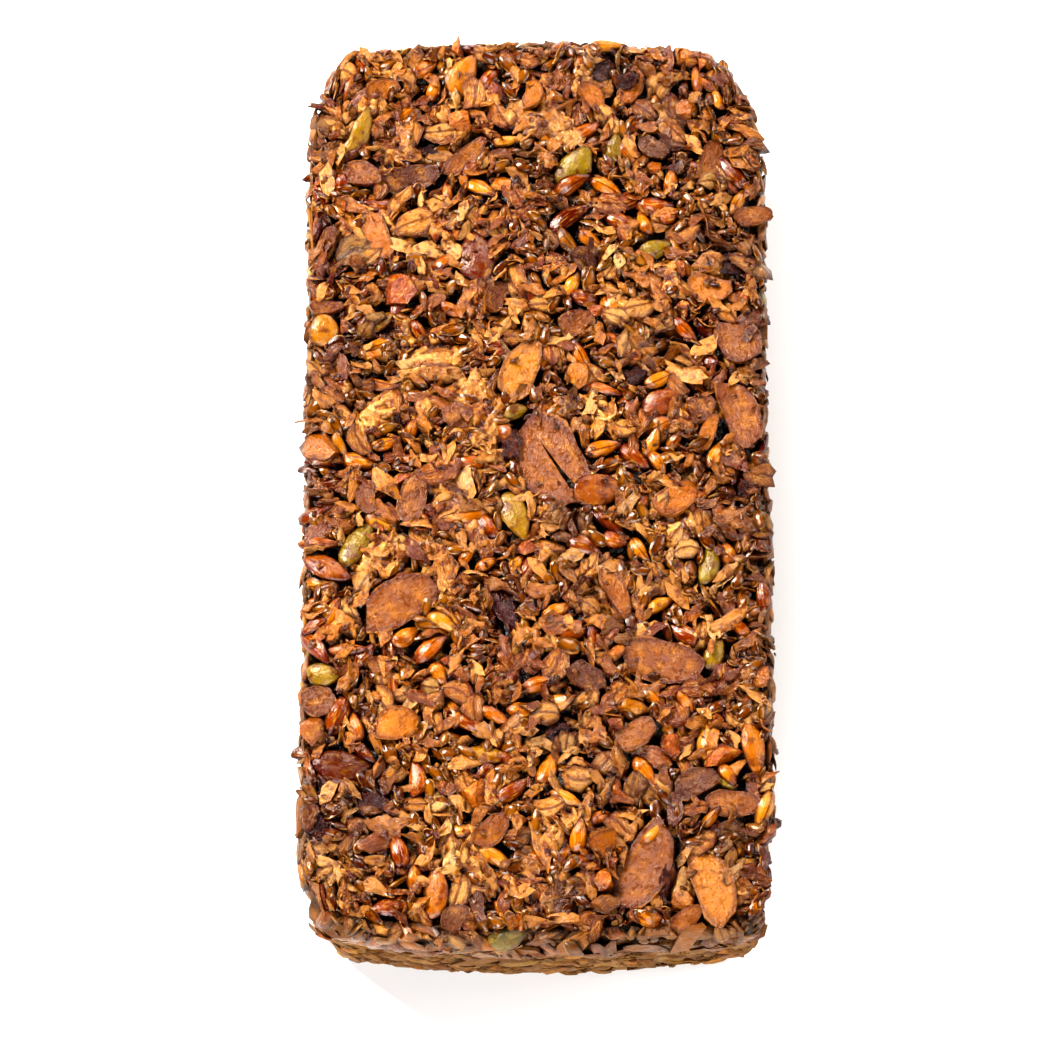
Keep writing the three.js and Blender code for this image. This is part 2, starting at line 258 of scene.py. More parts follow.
def body_mesh():
    mesh = block_mesh("body", *BODY_CELLS)
    block = read_points(mesh) * (WIDTH, LENGTH, HEIGHT) + (0, 0, HEIGHT)
    x, y, z = shape_loaf(*block.T)
    move_points(mesh, np.stack([x, y, z], 1))
    out = read_points(mesh, "normal")
    topness = smooth(0.45, 0.95, out[:, 2]) * (block[:, 2] > HEIGHT - 1)
    grown = topness * BODY_TOP + (1 - topness) * wall_base(x, y, z)
    grown = np.where(block[:, 2] < 0.01, 0, grown)
    place = np.stack([x, y, z], 1) + out * grown[:, None]
    place[:, 2] = np.maximum(place[:, 2], BODY_FOOT)
    move_points(mesh, place * MM)
    mesh.shade_smooth()
    set_values(mesh, "burn", 0.7 * burn_at(x, y, z))
    # Painted shade: the body's top, hidden under the pieces, and the deeper hollows of its walls are painted
    # dark.
    set_values(mesh, "sunk", np.maximum(0.9 * topness, smooth(-1.0, -2.2, grown) * (block[:, 2] > 0.01)))
    set_values(mesh, "pressed", (1 - topness) * np.clip(1 - 1.5 * stand_out(x, y, z), PRESSED_LEAST, 1))
    # Painted light and shade: the wall crumb is painted paler where it stands out and darker where it lies
    # deep.
    set_values(mesh, "fold", 0.8 * smooth(-1.9, -0.1, grown - BEHIND * stand_out(x, y, z)))
    return mesh


class Shade:
    """A socket in a material's nodes: sums on it add Math nodes, node() adds any other kind."""

    def __init__(self, tree, socket=None):
        self.tree = tree
        self.socket = socket

    def node(self, kind, settings=(), sockets=(), out=0):
        made = self.tree.nodes.new(kind)
        for name, value in dict(settings).items():
            if name == "stops":
                ramp = made.color_ramp
                while len(ramp.elements) < len(value):
                    ramp.elements.new(1)
                for stop, (place, colour) in zip(ramp.elements, value):
                    stop.position = place
                    stop.color = (*colour, 1)
            else:
                setattr(made, name, value)
        for name, value in dict(sockets).items():
            if isinstance(value, Shade):
                self.tree.links.new(value.socket, made.inputs[name])
            else:
                made.inputs[name].default_value = value
        return Shade(self.tree, made.outputs[out])

    def math(self, operation, first, second=0.0):
        return self.node("ShaderNodeMath", {"operation": operation}, {0: first, 1: second})

    def __add__(self, other):
        return self.math("ADD", self, other)

    def __sub__(self, other):
        return self.math("SUBTRACT", self, other)

    def __rsub__(self, other):
        return self.math("SUBTRACT", other, self)

    def __mul__(self, other):
        return self.math("MULTIPLY", self, other)

    def __abs__(self):
        return self.math("ABSOLUTE", self)

    __radd__ = __add__
    __rmul__ = __mul__

    def between(self, low, high):
        sockets = {"Value": self, "From Min": low, "From Max": high}
        return self.node("ShaderNodeMapRange", {"interpolation_type": "SMOOTHSTEP"}, sockets)

    def value(self, name):
        return self.node("ShaderNodeAttribute", {"attribute_name": name}, out="Fac")

    def vector(self, name):
        return self.node("ShaderNodeAttribute", {"attribute_name": name}, out="Vector")

    def axis(self, number):
        return self.node("ShaderNodeSeparateXYZ", (), {0: self}, out=number)

    def place(self):
        return self.node("ShaderNodeTexCoord", out="Object")

    def stretched(self, size):
        return self.node("ShaderNodeVectorMath", {"operation": "MULTIPLY"}, {0: self, 1: size})

    def moved(self, step):
        shift = self.node("ShaderNodeCombineXYZ", (), {0: step, 1: step})
        return self.node("ShaderNodeVectorMath", {"operation": "ADD"}, {0: self, 1: shift})

    def length(self):
        return self.node("ShaderNodeVectorMath", {"operation": "LENGTH"}, {0: self}, "Value")

    def clouds(self, scale, detail, rough):
        sockets = {"Vector": self, "Scale": scale, "Detail": detail, "Roughness": rough}
        return self.node("ShaderNodeTexNoise", {"noise_dimensions": "3D"}, sockets, "Fac")

    def mix(self, first, second, part):
        second = second if isinstance(second, Shade) else (*second, 1)
        return self.node("ShaderNodeMix", {"data_type": "RGBA"}, {0: part, 6: first, 7: second}, out=2)

    def ramp(self, stops):
        return self.node("ShaderNodeValToRGB", {"stops": stops}, {0: self})

    def bump(self, strength, distance):
        return self.node("ShaderNodeBump", (), {"Height": self, "Strength": strength, "Distance": distance})


LAMP_GAIN = (0.58, 0.59, 0.43)  # how far the lamps lighten each channel of a colour
SHEEN = 0.011  # what their sheen adds to it
DARKEST = 0.0004


def seen(red, green, blue):
    """A colour as seen under the lamps, 0 to 255 a channel, as the light values that shaders take."""
    light = [((channel / 255 + 0.055) / 1.055) ** 2.4 for channel in (red, green, blue)]
    return tuple(max(gain * value - SHEEN, DARKEST) for gain, value in zip(LAMP_GAIN, light))


def spread(*colours):
    """Evenly spaced stops of a colour ramp."""
    return [(number / (len(colours) - 1), seen(*colour)) for number, colour in enumerate(colours)]


def shaded(paint, *colours):
    """Each piece's own colour, from the darkest to the palest of its kind."""
    return paint.value("shade").ramp(spread(*colours))


def material(name, colour, roughness, normal, gloss=0.5):
    """A material: colour, roughness and normal make their own nodes, the gloss is the same all over."""
    made = bpy.data.materials.new(name)
    made.use_nodes = True
    shader = made.node_tree.nodes["Principled BSDF"]
    paint = Shade(made.node_tree)
    for socket, maker in (("Base Color", colour), ("Roughness", roughness), ("Normal", normal)):
        made.node_tree.links.new(maker(paint).socket, shader.inputs[socket])
    shader.inputs["Specular IOR Level"].default_value = gloss
    return made


def roasted_and_shaded(paint, colour, burnt=0.8, sunk=0.9):
    """Dulls a colour where the tin pressed it, darkens it where it burnt, and paints shade over it where it
    lies low.
    """
    dull = paint.mix(colour, seen(184, 138, 92), paint.value("pressed") * 0.5)
    burnt = paint.mix(dull, seen(56, 22, 2), paint.value("burn") * burnt)
    # Painted shade: near black, by how far the surface lies below what is round it.
    return paint.mix(burnt, seen(20, 7, 0), paint.value("sunk") * sunk)


def crumb_colour(paint):
    place = paint.place()
    # The fold attribute paints light and shade: paler on raised crumb, darker in its hollows. The clouds are
    # its own tone.
    tone_and_relief_shade = place.clouds(170, 4, 0.65) * 0.45 + paint.value("fold") * 0.55
    gold = tone_and_relief_shade.ramp([
        (0.25, seen(34, 12, 2)), (0.42, seen(94, 42, 8)), (0.56, seen(148, 84, 30)),
        (0.7, seen(204, 138, 76)), (0.88, seen(244, 196, 138)),
    ])
    grit = place.clouds(560, 4, 0.65)
    gold = paint.mix(gold, seen(108, 50, 12), grit.between(0.5, 0.7) * 0.65)
    # The pressed layers take a little of the same painted relief shade.
    layers = place.stretched((0.16, 0.16, 1.0)).clouds(1000, 3, 0.6) * 0.7 + paint.value("fold") * 0.3
    pressed = layers.ramp([
        (0.36, seen(70, 36, 16)), (0.48, seen(134, 86, 46)),
        (0.6, seen(186, 136, 82)), (0.74, seen(226, 188, 134)),
    ])
    return roasted_and_shaded(paint, paint.mix(gold, pressed, paint.value("pressed")))


def crumb_normal(paint):
    place = paint.place()
    return (place.clouds(400, 4, 0.6) + 0.2 * place.clouds(1500, 2, 0.5)).bump(1.0, 0.0014)


DRY_SIDES = 0.4  # how much rougher the pressed sides are than the sticky top


def slick(low, high):
    """A sticky gloss that comes and goes, and is duller on the pressed sides."""

    def roughness(paint):
        patches = paint.place().clouds(380, 3, 0.6)
        return patches.between(0.48, 0.62) * (high - low) + (low + DRY_SIDES * paint.value("pressed"))

    return roughness


def as_part(name, mesh, stuff):
    piece = bpy.data.objects.new(name, mesh)
    bpy.context.collection.objects.link(piece)
    mesh.materials.append(stuff)
    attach(piece, "root")
    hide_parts("loaf")


crumb_material = material("sticky crumb", crumb_colour, slick(0.12, 0.45), crumb_normal, gloss=0.5)
as_part("crumb_body", body_mesh(), crumb_material)

# ----------
# Almonds, sliced thin and toasted: caramel leaves with a fine grain and a
# lighter line round the edge. Most broke in the mixing. The big ones lie on
# the top, stuck down with syrup.

# Deep dark gaps between the pieces of the top: x, y, radius
GAPS = [
    (-6.5, -31, 2.4), (-25, -25, 2.2), (-43, -54, 2.8), (26, -3.5, 2.0), (22, -40.5, 2.2),
    (21.5, -57, 2.2), (51, -29, 2.4), (-49, -84.5, 2.6), (-31, -44.5, 2.4), (-2, 71, 2.2), (47.5, 5, 2.4),
    (33, -87, 2.0), (-13, -112, 2.0),
]
GAP_DEEP = 3.0
SOFT_LEVEL, LOW_LEVEL = -1.1, -3.8  # where the crumb ends under the pieces of the top
BROKEN_LEVEL = -9.0  # and where it ends at the broken corner


def plain_y(x, y):
    """The y on the plain block of a place that is read off the loaf's bowed plan."""
    return y / (1 + END_BOW * (1 - (2 * x / WIDTH) ** 2) / (LENGTH / 2))


def softness(x, y):
    """Where fine crumb and syrup fill the loaf up to its top: 1 there, 0 where pieces lie loose."""
    patches = 0.8 * noise(x, y, 0, 9.5, 3) + 0.55 * noise(x, y, 0, 4.6, 4) + 0.5 * (golden_at(x, y) - 0.45)
    inside = np.minimum(WIDTH / 2 - np.abs(x), LENGTH / 2 - np.abs(y))
    return smooth(-0.2, 0.45, patches) * smooth(1, 6, inside)


def top_base(x, y):
    """How high the crumb lies over or under the top's level before any piece lies on it."""
    level = LOW_LEVEL + (SOFT_LEVEL - LOW_LEVEL) * softness(x, y)
    wells = np.zeros(np.shape(level))
    for gx, gy, radius in GAPS:
        apart = np.hypot(x - gx, y - plain_y(gx, gy))
        wells = np.maximum(wells, np.exp(-((apart / radius) ** 2)))
    inside = np.minimum(WIDTH / 2 - np.abs(x), LENGTH / 2 - np.abs(y))
    rounding = RIM_ROUND - np.sqrt(np.maximum(RIM_ROUND**2 - np.maximum(RIM_ROUND - inside, 0) ** 2, 0))
    broken = (x > BREAK_X + np.clip(plain_y(x, y) - BREAK_Y, 0, BREAK_SLANT)) & (y < BREAK_Y + BREAK_SLANT)
    pits = smooth(0.3, 0.65, noise(x, y, 0, 3.2, 14)) * (1 - softness(x, y))
    rough = 0.5 * noise(x, y, 0, 2.3, 5) + 0.28 * noise(x, y, 0, 1.25, 6) - 1.6 * pits
    whole = TOP_LUMPS * hills(x, y, 0) + level + rough - GAP_DEEP * wells - rounding
    return np.where(broken, BROKEN_LEVEL, whole)


PITCH = 0.5  # of the maps that record how high the pieces lie so far
RIM_MARGIN = 0.8  # how near the top's rim the pieces of a wall may lie
KEPT_COST = 50.0  # as if a place that stays uncovered were this much higher


class Skin:
    """A side of the loaf laid out flat: u and v along it, heights out of it, and what lies there."""

    def __init__(self, low, high, ground, to_loaf, press=None, closed=False):
        self.low = np.array(low, dtype=float)
        self.high = np.array(high, dtype=float)
        self.size = ((self.high - self.low) / PITCH).astype(int) + (0 if closed else 1)
        u = self.low[0] + PITCH * np.arange(self.size[0])
        v = self.low[1] + PITCH * np.arange(self.size[1])
        self.ground = ground(*np.meshgrid(u, v, indexing="ij"))
        self.kept = np.zeros(self.ground.shape, dtype=bool)  # under the pieces that stay uncovered
        self.face = press(*np.meshgrid(u, v, indexing="ij")) if press else 0 * self.ground
        self.to_loaf = to_loaf
        self.press = press
        self.closed = closed

    def window(self, u, v, reach):
        """The cells within reach of a point, and how far each lies from it."""
        steps = int(reach / PITCH) + 1
        i = int(round((u - self.low[0]) / PITCH)) + np.arange(-steps, steps + 1)
        j = int(round((v - self.low[1]) / PITCH)) + np.arange(-steps, steps + 1)
        j = j[(j >= 0) & (j < self.size[1])]
        if not self.closed:
            i = i[(i >= 0) & (i < self.size[0])]
        du = self.low[0] + PITCH * i - u
        dv = self.low[1] + PITCH * j - v
        return np.ix_(i % self.size[0], j), du[:, None], dv[None, :]

    def lowest(self, draw, tries, margin):
        """Of a few random places, the one where the least lies so far."""
        u = draw.uniform(self.low[0] + margin, self.high[0] - margin, tries)
        v = draw.uniform(self.low[1] + margin, self.high[1] - (RIM_MARGIN if self.closed else margin), tries)
        total = np.zeros(tries)
        for su, sv in ((0, 0), (2, 0), (-2, 0), (0, 2), (0, -2)):
            i = np.round((u + su - self.low[0]) / PITCH).astype(int) % self.size[0]
            j = np.clip(np.round((v + sv - self.low[1]) / PITCH).astype(int), 0, self.size[1] - 1)
            total += self.ground[i, j] - self.face[i, j] + KEPT_COST * self.kept[i, j]
        best = int(np.argmin(total))
        return u[best], v[best]

    def read(self, heights, u, v):
        """Heights of a map at any places, evened out between its cells."""
        a = np.clip((u - self.low[0]) / PITCH, 0, self.size[0] - 1.001)
        b = np.clip((v - self.low[1]) / PITCH, 0, self.size[1] - 1.001)
        i, j = a.astype(int), b.astype(int)
        a, b = a - i, b - j
        near = heights[i, j] * (1 - b) + heights[i, j + 1] * b
        far = heights[i + 1, j] * (1 - b) + heights[i + 1, j + 1] * b
        return near * (1 - a) + far * a


def turned(turn, roll, slope_u=0.0, slope_v=0.0):
    """The turn of a piece: rolled about its length, turned in the plane, then laid to a slope."""
    up = Vector((-slope_u, -slope_v, 1)).normalized()
    lean = Vector((0, 0, 1)).rotation_difference(up).to_matrix()
    return np.array(lean @ Matrix.Rotation(turn, 3, "Z") @ Matrix.Rotation(roll, 3, "X"))


def bulge(way, radii, du, dv):
    """Where an ellipsoid covers the cells, the height of its middle and its half thickness there."""
    form = way @ np.diag(1 / np.square(radii)) @ way.T
    lean = form[0, 2] * du + form[1, 2] * dv
    flat = form[0, 0] * du**2 + 2 * form[0, 1] * du * dv + form[1, 1] * dv**2 - 1
    room = lean**2 - form[2, 2] * flat
    return room > 0, -lean / form[2, 2], np.sqrt(np.maximum(room, 0)) / form[2, 2]


SLOPE_SHARE, MOST_SLOPE = 0.75, 0.9  # how much of the slope under it a piece follows, and up to which
DEEPEST_FELT = -4.5  # deeper holes than this don't tilt it
ON_RIM = 0.4  # where a wall's pieces stand out further, they lie any way round
FLUSH = 0.15  # how far the pieces of a pressed wall stand out of it
PRESSED_IN = (-1.1, 0.5)  # how much deeper or less deep than flush they are
SHOWN_TILT, LOOSE_TILT, PRESSED_TILT, RIM_TILT = 0.1, 0.22, 0.06, 0.2  # how unevenly pieces lie
RESTS_ON = 0.8  # the share of what lies under a piece that is lower than it rests
COVERED = 0.75  # a place that is filled to less than this under the wall's face is free
CROWDED = 0.4  # the share of taken places that leaves a piece no room
FEWEST_CELLS, FEWEST_LEFT = 4, 3  # of the maps that a piece has to cover, lying flat and then leaning


def tin_press(around, height):
    """How far the pieces of a wall stand out of it: flush, but for those of the rim."""
    around, height = np.broadcast_arrays(around, height)
    x, y, _ = wall_point(around.ravel(), height.ravel()).T
    return FLUSH + stand_out(x, y, height.ravel()).reshape(around.shape)


def settle(skin, u, v, radii, turn, roll, draw, lowest=None, most=None, sink=0.25):
    """Lets a piece down on what lies there, or presses it in flush with the tin, and notes its cover."""
    cells, du, dv = skin.window(u, v, float(max(radii)) * 1.05)
    ground = skin.ground[cells]
    if skin.press is None:
        inside, middle, half = bulge(turned(turn, roll), radii, du, dv)
        if inside.sum() < FEWEST_CELLS:
            return None
        wu, wv, wg = [np.broadcast_to(a, inside.shape)[inside] for a in (du, dv, ground)]
        fit = np.stack([wu, wv, np.ones(wu.shape)], 1)
        slopes = SLOPE_SHARE * np.linalg.lstsq(fit, np.maximum(wg, DEEPEST_FELT), rcond=None)[0][:2]
        slopes = slopes + draw.normal(0, LOOSE_TILT if lowest is None else SHOWN_TILT, 2)
        slopes = slopes * min(1.0, MOST_SLOPE / max(math.hypot(*slopes), 1e-6))
        way = turned(turn, roll, *slopes)
        inside, middle, half = bulge(way, radii, du, dv)
        if inside.sum() < FEWEST_LEFT:
            return None
        under = (ground - middle + half)[inside]
        height = float(np.quantile(under, RESTS_ON)) - sink * float(min(radii))
        if lowest is not None:
            height = max(height, lowest)
        peak = height + float(np.sqrt((way @ np.diag(np.square(radii)) @ way.T)[2, 2]))
        if most is not None and peak > most:
            if lowest is None:
                return None
            height -= peak - most
    else:
        press = float(skin.press(u, v))
        way = turned(turn, roll, *draw.normal(0, PRESSED_TILT if press < ON_RIM else RIM_TILT, 2))
        inside, middle, half = bulge(way, radii, du, dv)
        if inside.sum() < FEWEST_LEFT or (ground[inside] > press - COVERED).mean() > CROWDED:
            return None
        upward = float(np.sqrt((way @ np.diag(np.square(radii)) @ way.T)[2, 2]))
        height = press + draw.uniform(*PRESSED_IN) - upward
    cover = np.where(inside, height + middle + half, -99)
    if skin.press is not None:
        cover = np.minimum(cover, press)
    skin.ground[cells] = np.maximum(ground, cover)
    return (u, v, height), way


def on_top(flat):
    x, y = in_plan(flat[:, 0], flat[:, 1])
    z = HEIGHT + flat[:, 2]
    return np.stack([np.where(z < HEIGHT - 1, off_the_break(x, y, z), x), y, z], 1)


def around_block(turn):
    """A place on the plain block's outline, from the distance round it."""
    corners = np.cumsum([0, WIDTH, LENGTH, WIDTH, LENGTH])
    turn = np.mod(turn, corners[-1])
    x = np.interp(turn, corners, np.array([-1, 1, 1, -1, -1]) * WIDTH / 2)
    y = np.interp(turn, corners, np.array([-1, -1, 1, 1, -1]) * LENGTH / 2)
    return x, y


block_turn = np.linspace(0, 2 * (WIDTH + LENGTH), 2801)
ring_x, ring_y, _ = shape_loaf(*around_block(block_turn), np.full(block_turn.shape, HEIGHT / 2))
ring_length = np.concatenate([[0], np.cumsum(np.hypot(np.diff(ring_x), np.diff(ring_y)))])
AROUND = ring_length[-1]


def wall_point(s, z):
    x, y = around_block(np.interp(np.mod(s, AROUND), ring_length, block_turn))
    return np.stack(shape_loaf(x, y, np.clip(z, 0, HEIGHT)), 1)


def on_wall(flat):
    s, z, out = flat.T
    along = wall_point(s + 0.6, z) - wall_point(s - 0.6, z)
    upward = wall_point(s, z + 0.6) - wall_point(s, z - 0.6)
    way = np.cross(along, upward)
    way /= np.maximum(np.linalg.norm(way, axis=1), 1e-9)[:, None]
    place = wall_point(s, z) + way * out[:, None]
    place[:, 2] = np.maximum(place[:, 2], 0.0)
    return place


def on_base(flat):
    x, y = in_plan(flat[:, 0], -flat[:, 1])
    drawn = DRAW_IN + 0.3 * BASE_ROUND
    x, y = x * (1 - drawn / (WIDTH / 2)), y * (1 - drawn / (LENGTH / 2))
    return np.stack([off_the_break(x, y, 0 * x), y, np.maximum(-flat[:, 2], 0)], 1)


def wall_crumb(s, z):
    return wall_base(*wall_point(s.ravel(), z.ravel()).T).reshape(s.shape)


HALF_W, HALF_L = WIDTH / 2, LENGTH / 2
BASE_W, BASE_L = HALF_W - 2, HALF_L - 2
top = Skin((-HALF_W, -HALF_L), (HALF_W, HALF_L), top_base, on_top)
wall = Skin((0, 0), (AROUND, HEIGHT), wall_crumb, on_wall, press=tin_press, closed=True)
base = Skin((-BASE_W, -BASE_L), (BASE_W, BASE_L), lambda x, y: 0 * x - 1, on_base, press=lambda u, v: 0 * v)


def unit_shape(bm):
    """A shape's points and three-cornered faces as arrays."""
    bmesh.ops.recalc_face_normals(bm, faces=bm.faces)
    bmesh.ops.triangulate(bm, faces=bm.faces)
    bm.verts.index_update()
    points = np.array([vert.co[:] for vert in bm.verts])
    faces = np.array([[vert.index for vert in face.verts] for face in bm.faces])
    bm.free()
    return points, faces


def lying_seed(around, along, shape):
    """A shape drawn out along x from a sphere, its points moved by a function."""
    bm = bmesh.new()
    bmesh.ops.create_uvsphere(bm, u_segments=around, v_segments=along, radius=1)
    bmesh.ops.rotate(bm, verts=bm.verts, matrix=Matrix.Rotation(math.pi / 2, 3, "Y"))
    for vert in bm.verts:
        vert.co = shape(*vert.co)
    return unit_shape(bm)


def pressed_flat(heights, press):
    """Flattens what would stand out past the tin."""
    over = np.maximum(heights - press, 0)
    return heights - over + 0.25 * np.tanh(over / 0.5)


WALL_BURN, RIM_BURN = 0.5, 0.15  # the tin kept the walls paler than the top
CURL_SHARE, MOST_CURL = 0.35, 1.6  # how far a bent piece's ends lift: of half its length, and at most
made_meshes = []  # each mesh with its points on each side laid out flat


def joined(name, rows, shapes, draw, stuff, bend=0.12, lumps=0.06, sharp=60):
    """One mesh of all the pieces laid, each bent and lumped in its own way."""
    points, faces, per_point, laid_flat = [], [], [], []
    start = 0
    for skin in (top, wall, base):
        for number, (unit, triangles) in enumerate(shapes):
            mine = [row for row in rows if row[0] is skin and row[4] == number]
            if not mine:
                continue
            centre, way, radii, shade = [np.array([row[column] for row in mine]) for column in (1, 2, 3, 5)]
            count, corners = len(mine), len(unit)
            phase = draw.uniform(0, 2 * math.pi, (count, 1, 3))
            bends = draw.normal(0, bend, (count, 2))
            wave = np.sin(2.7 * unit[None] + phase) * np.sin(3.9 * unit[None][:, :, [1, 2, 0]] + 2 * phase)
            local = unit[None] * (1 + lumps * wave) * radii[:, None, :]
            curve = unit[None, :, 0] ** 2 - 0.4
            local[..., 1] += bends[:, :1] * curve * radii[:, 1:2]
            local[..., 2] += bends[:, 1:] * curve * np.minimum(radii[:, 0:1] * CURL_SHARE, MOST_CURL)
            flat = centre[:, None] + np.einsum("nij,nvj->nvi", way, local)
            if skin.press is not None:
                flat[..., 2] = pressed_flat(flat[..., 2], skin.press(flat[..., 0], flat[..., 1]))
            flat = flat.reshape(-1, 3)
            points.append(skin.to_loaf(flat))
            laid_flat.append((skin, flat))
            faces.append((triangles[None] + corners * np.arange(count)[:, None, None]).reshape(-1, 3) + start)
            start += count * corners
            burn = np.repeat(burn_at(*skin.to_loaf(centre).T), corners)
            pressed = 0 * burn
            if skin is not top:
                pressed = np.clip(1.2 - 1.5 * skin.press(flat[:, 0], flat[:, 1]), PRESSED_LEAST, 1)
                burn = np.clip(WALL_BURN * burn + RIM_BURN * (1 - pressed), 0, 1)
            dice = np.repeat(draw.random(count), corners)
            spots = np.tile(unit, (count, 1))
            per_point.append(np.column_stack([spots, np.repeat(shade, corners), dice, burn, pressed]))
    points, faces, per_point = np.concatenate(points), np.concatenate(faces), np.concatenate(per_point)
    mesh = bpy.data.meshes.new(name)
    mesh.vertices.add(len(points))
    mesh.vertices.foreach_set("co", (points * MM).astype(np.float32).ravel())
    mesh.loops.add(faces.size)
    mesh.loops.foreach_set("vertex_index", faces.astype(np.int32).ravel())
    mesh.polygons.add(len(faces))
    mesh.polygons.foreach_set("loop_start", np.arange(0, faces.size, 3, dtype=np.int32))
    mesh.update(calc_edges=True)
    mesh.shade_smooth()
    mesh.set_sharp_from_angle(angle=math.radians(sharp))
    set_values(mesh, "spot", per_point[:, :3])
    for column, value in enumerate(("shade", "dice", "burn", "pressed"), 3):
        set_values(mesh, value, per_point[:, column])
    made_meshes.append((mesh, laid_flat))
    as_part(name, mesh, stuff)


MOST_SHOWN = 2.9  # how high over the loaf's top the highest pieces reach


def shown(rows, table, thick, draw, kinds, lowest, keep=0.8):
    """Lays the pieces that the top shows at set places: x, y, length, width, turn, shade."""
    for x, y, length, width, turn, shade, *chosen in table:
        radii = np.array([length / 2, width / 2, thick / 2])
        turn = math.radians(turn)
        roll = 0.0 if chosen else draw.normal(0, 0.12)
        laid = settle(top, x, plain_y(x, y), radii, turn, roll, draw, lowest=lowest, most=MOST_SHOWN)
        if laid is None:
            continue
        rows.append((top, *laid, radii, chosen[0] if chosen else int(draw.integers(kinds)), shade))
        if keep:
            cells, du, dv = top.window(x, plain_y(x, y), length / 2)
            top.kept[cells] |= bulge(laid[1], radii * keep, du, dv)[0]


EDGE_MARGIN = {top: 1.8, wall: 3.5, base: 1.5}  # how near its skin's edges a piece may lie
TRIES_EACH = 3
ON_EDGE = (0.8, 1.7)  # how far over a piece that stands on edge is rolled
OWN_SHADE, PATCH_SHADE, LESS_SHADE = 0.7, 0.5, 0.02  # the top's golden patches make its pieces paler
EDGE_ON_SHARE = 0.75  # of the pieces of a pressed wall, those that the tin shows edge on


def scatter(
    rows, skin, count, size, draw, kinds, stood=0.12, tries=4, most=1.8, sink=0.25, spread_of=0.16, where=None
):
    """Lays like pieces at random, each where the least lies so far, and the stood share on edge."""
    made = 0
    margin = EDGE_MARGIN[skin] + (size[0] / 2 if skin is base else 0)
    for _ in range(count * TRIES_EACH):
        if made == count:
            break
        u, v = skin.lowest(draw, tries, margin)
        if where is not None and draw.random() > where(u, v):
            continue
        radii = np.array(size) / 2 * math.exp(draw.normal(0, spread_of)) * draw.uniform(0.9, 1.1, 3)
        turn = draw.uniform(-math.pi, math.pi)
        roll = draw.normal(0, 0.25) if draw.random() > stood else draw.uniform(*ON_EDGE)
        if skin is wall and skin.press(u, v) > ON_RIM:
            roll = draw.normal(0, 0.5)
        elif skin is wall:
            turn = draw.normal(0, 0.2) + (math.pi if draw.random() < 0.5 else 0)
            roll = draw.normal(math.pi / 2 if draw.random() < EDGE_ON_SHARE else 0, 0.25)
        elif skin is base:
            roll = draw.normal(0, 0.1)
        laid = settle(skin, u, v, radii, turn, roll, draw, most=most, sink=sink)
        if laid is not None:
            shade = float(draw.random())
            if skin is top:
                shade = OWN_SHADE * shade + PATCH_SHADE * float(golden_at(u, v)) - LESS_SHADE
                shade = min(max(shade, 0), 1)
            rows.append((skin, *laid, radii, int(draw.integers(*kinds)), shade))
            made += 1


def cut_off(bm, middle, way):
    """Cuts a closed shape across and closes it again."""
    whole = list(bm.verts) + list(bm.edges) + list(bm.faces)
    cut = bmesh.ops.bisect_plane(bm, geom=whole, plane_co=middle, plane_no=way, clear_outer=True)
    edges = [item for item in cut["geom_cut"] if isinstance(item, bmesh.types.BMEdge)]
    bmesh.ops.holes_fill(bm, edges=edges, sides=0)


def almond_shape(salt, cuts, corners=22, rings=(0.1, 0.3, 0.3)):
    """A thin toasted slice, whole or broken along the given lines."""
    bm = bmesh.new()
    bmesh.ops.create_circle(bm, cap_ends=True, segments=corners, radius=1)
    for thickness in rings:
        middle = [face for face in bm.faces if len(face.verts) > 4]
        bmesh.ops.inset_region(bm, faces=middle, thickness=thickness, use_boundary=True)
    lifted = bmesh.ops.extrude_face_region(bm, geom=list(bm.faces))["geom"]
    upper = [item for item in lifted if isinstance(item, bmesh.types.BMVert)]
    bmesh.ops.translate(bm, verts=upper, vec=(0, 0, 2))
    bmesh.ops.translate(bm, verts=bm.verts, vec=(0, 0, -1))
    for angle, offset in cuts:
        way = Vector((math.cos(angle), math.sin(angle), 0))
        cut_off(bm, way * offset, way)
    for vert in bm.verts:
        x, y, z = vert.co
        angle = math.atan2(y, x)
        oval = (abs(math.cos(angle)) ** 2.5 + abs(math.sin(angle)) ** 2.5) ** -0.4
        oval *= 1 + 0.035 * math.sin(3 * angle + salt) + 0.03 * math.sin(7 * angle - salt)
        dish = 0.35 * min(1.0, math.hypot(x, y)) ** 3
        ripple = 0.35 * math.sin(3.1 * x + salt) * math.cos(2.3 * y - salt)
        thin = 1 - 0.25 * (x * x + y * y)
        vert.co = (x * oval * 0.96, y * oval * (1 - 0.08 * x), z * thin + dish + ripple)
    return unit_shape(bm)


def cracked_shape(salt, left, right):
    """A slice in two parts, with a crack between them."""
    (points, faces), (more_points, more_faces) = almond_shape(salt, (left,)), almond_shape(salt, (right,))
    return np.concatenate([points, more_points]), np.concatenate([faces, more_faces + len(points)])


ALMOND_SHAPES = [almond_shape(0.4, ()), almond_shape(2.1, ()), almond_shape(4.0, ((2.9, 0.8),))]
CRACKED = 7  # the number of the slice that cracked along its middle
ALMOND_SHAPES += [
    almond_shape(salt, cuts, 14, (0.14,)) for salt, cuts in (
        (0.9, ((2.2, 0.5),)), (1.1, ((0.3, 0.35),)), (3.0, ((2.6, 0.25), (-0.7, 0.5))), (5.0, ((1.8, 0.2),)),
    )
]
ALMOND_SHAPES.append(cracked_shape(0.4, (1.62, 0.06), (1.78 - math.pi, -0.14)))
ALMOND_THICK = 1.5
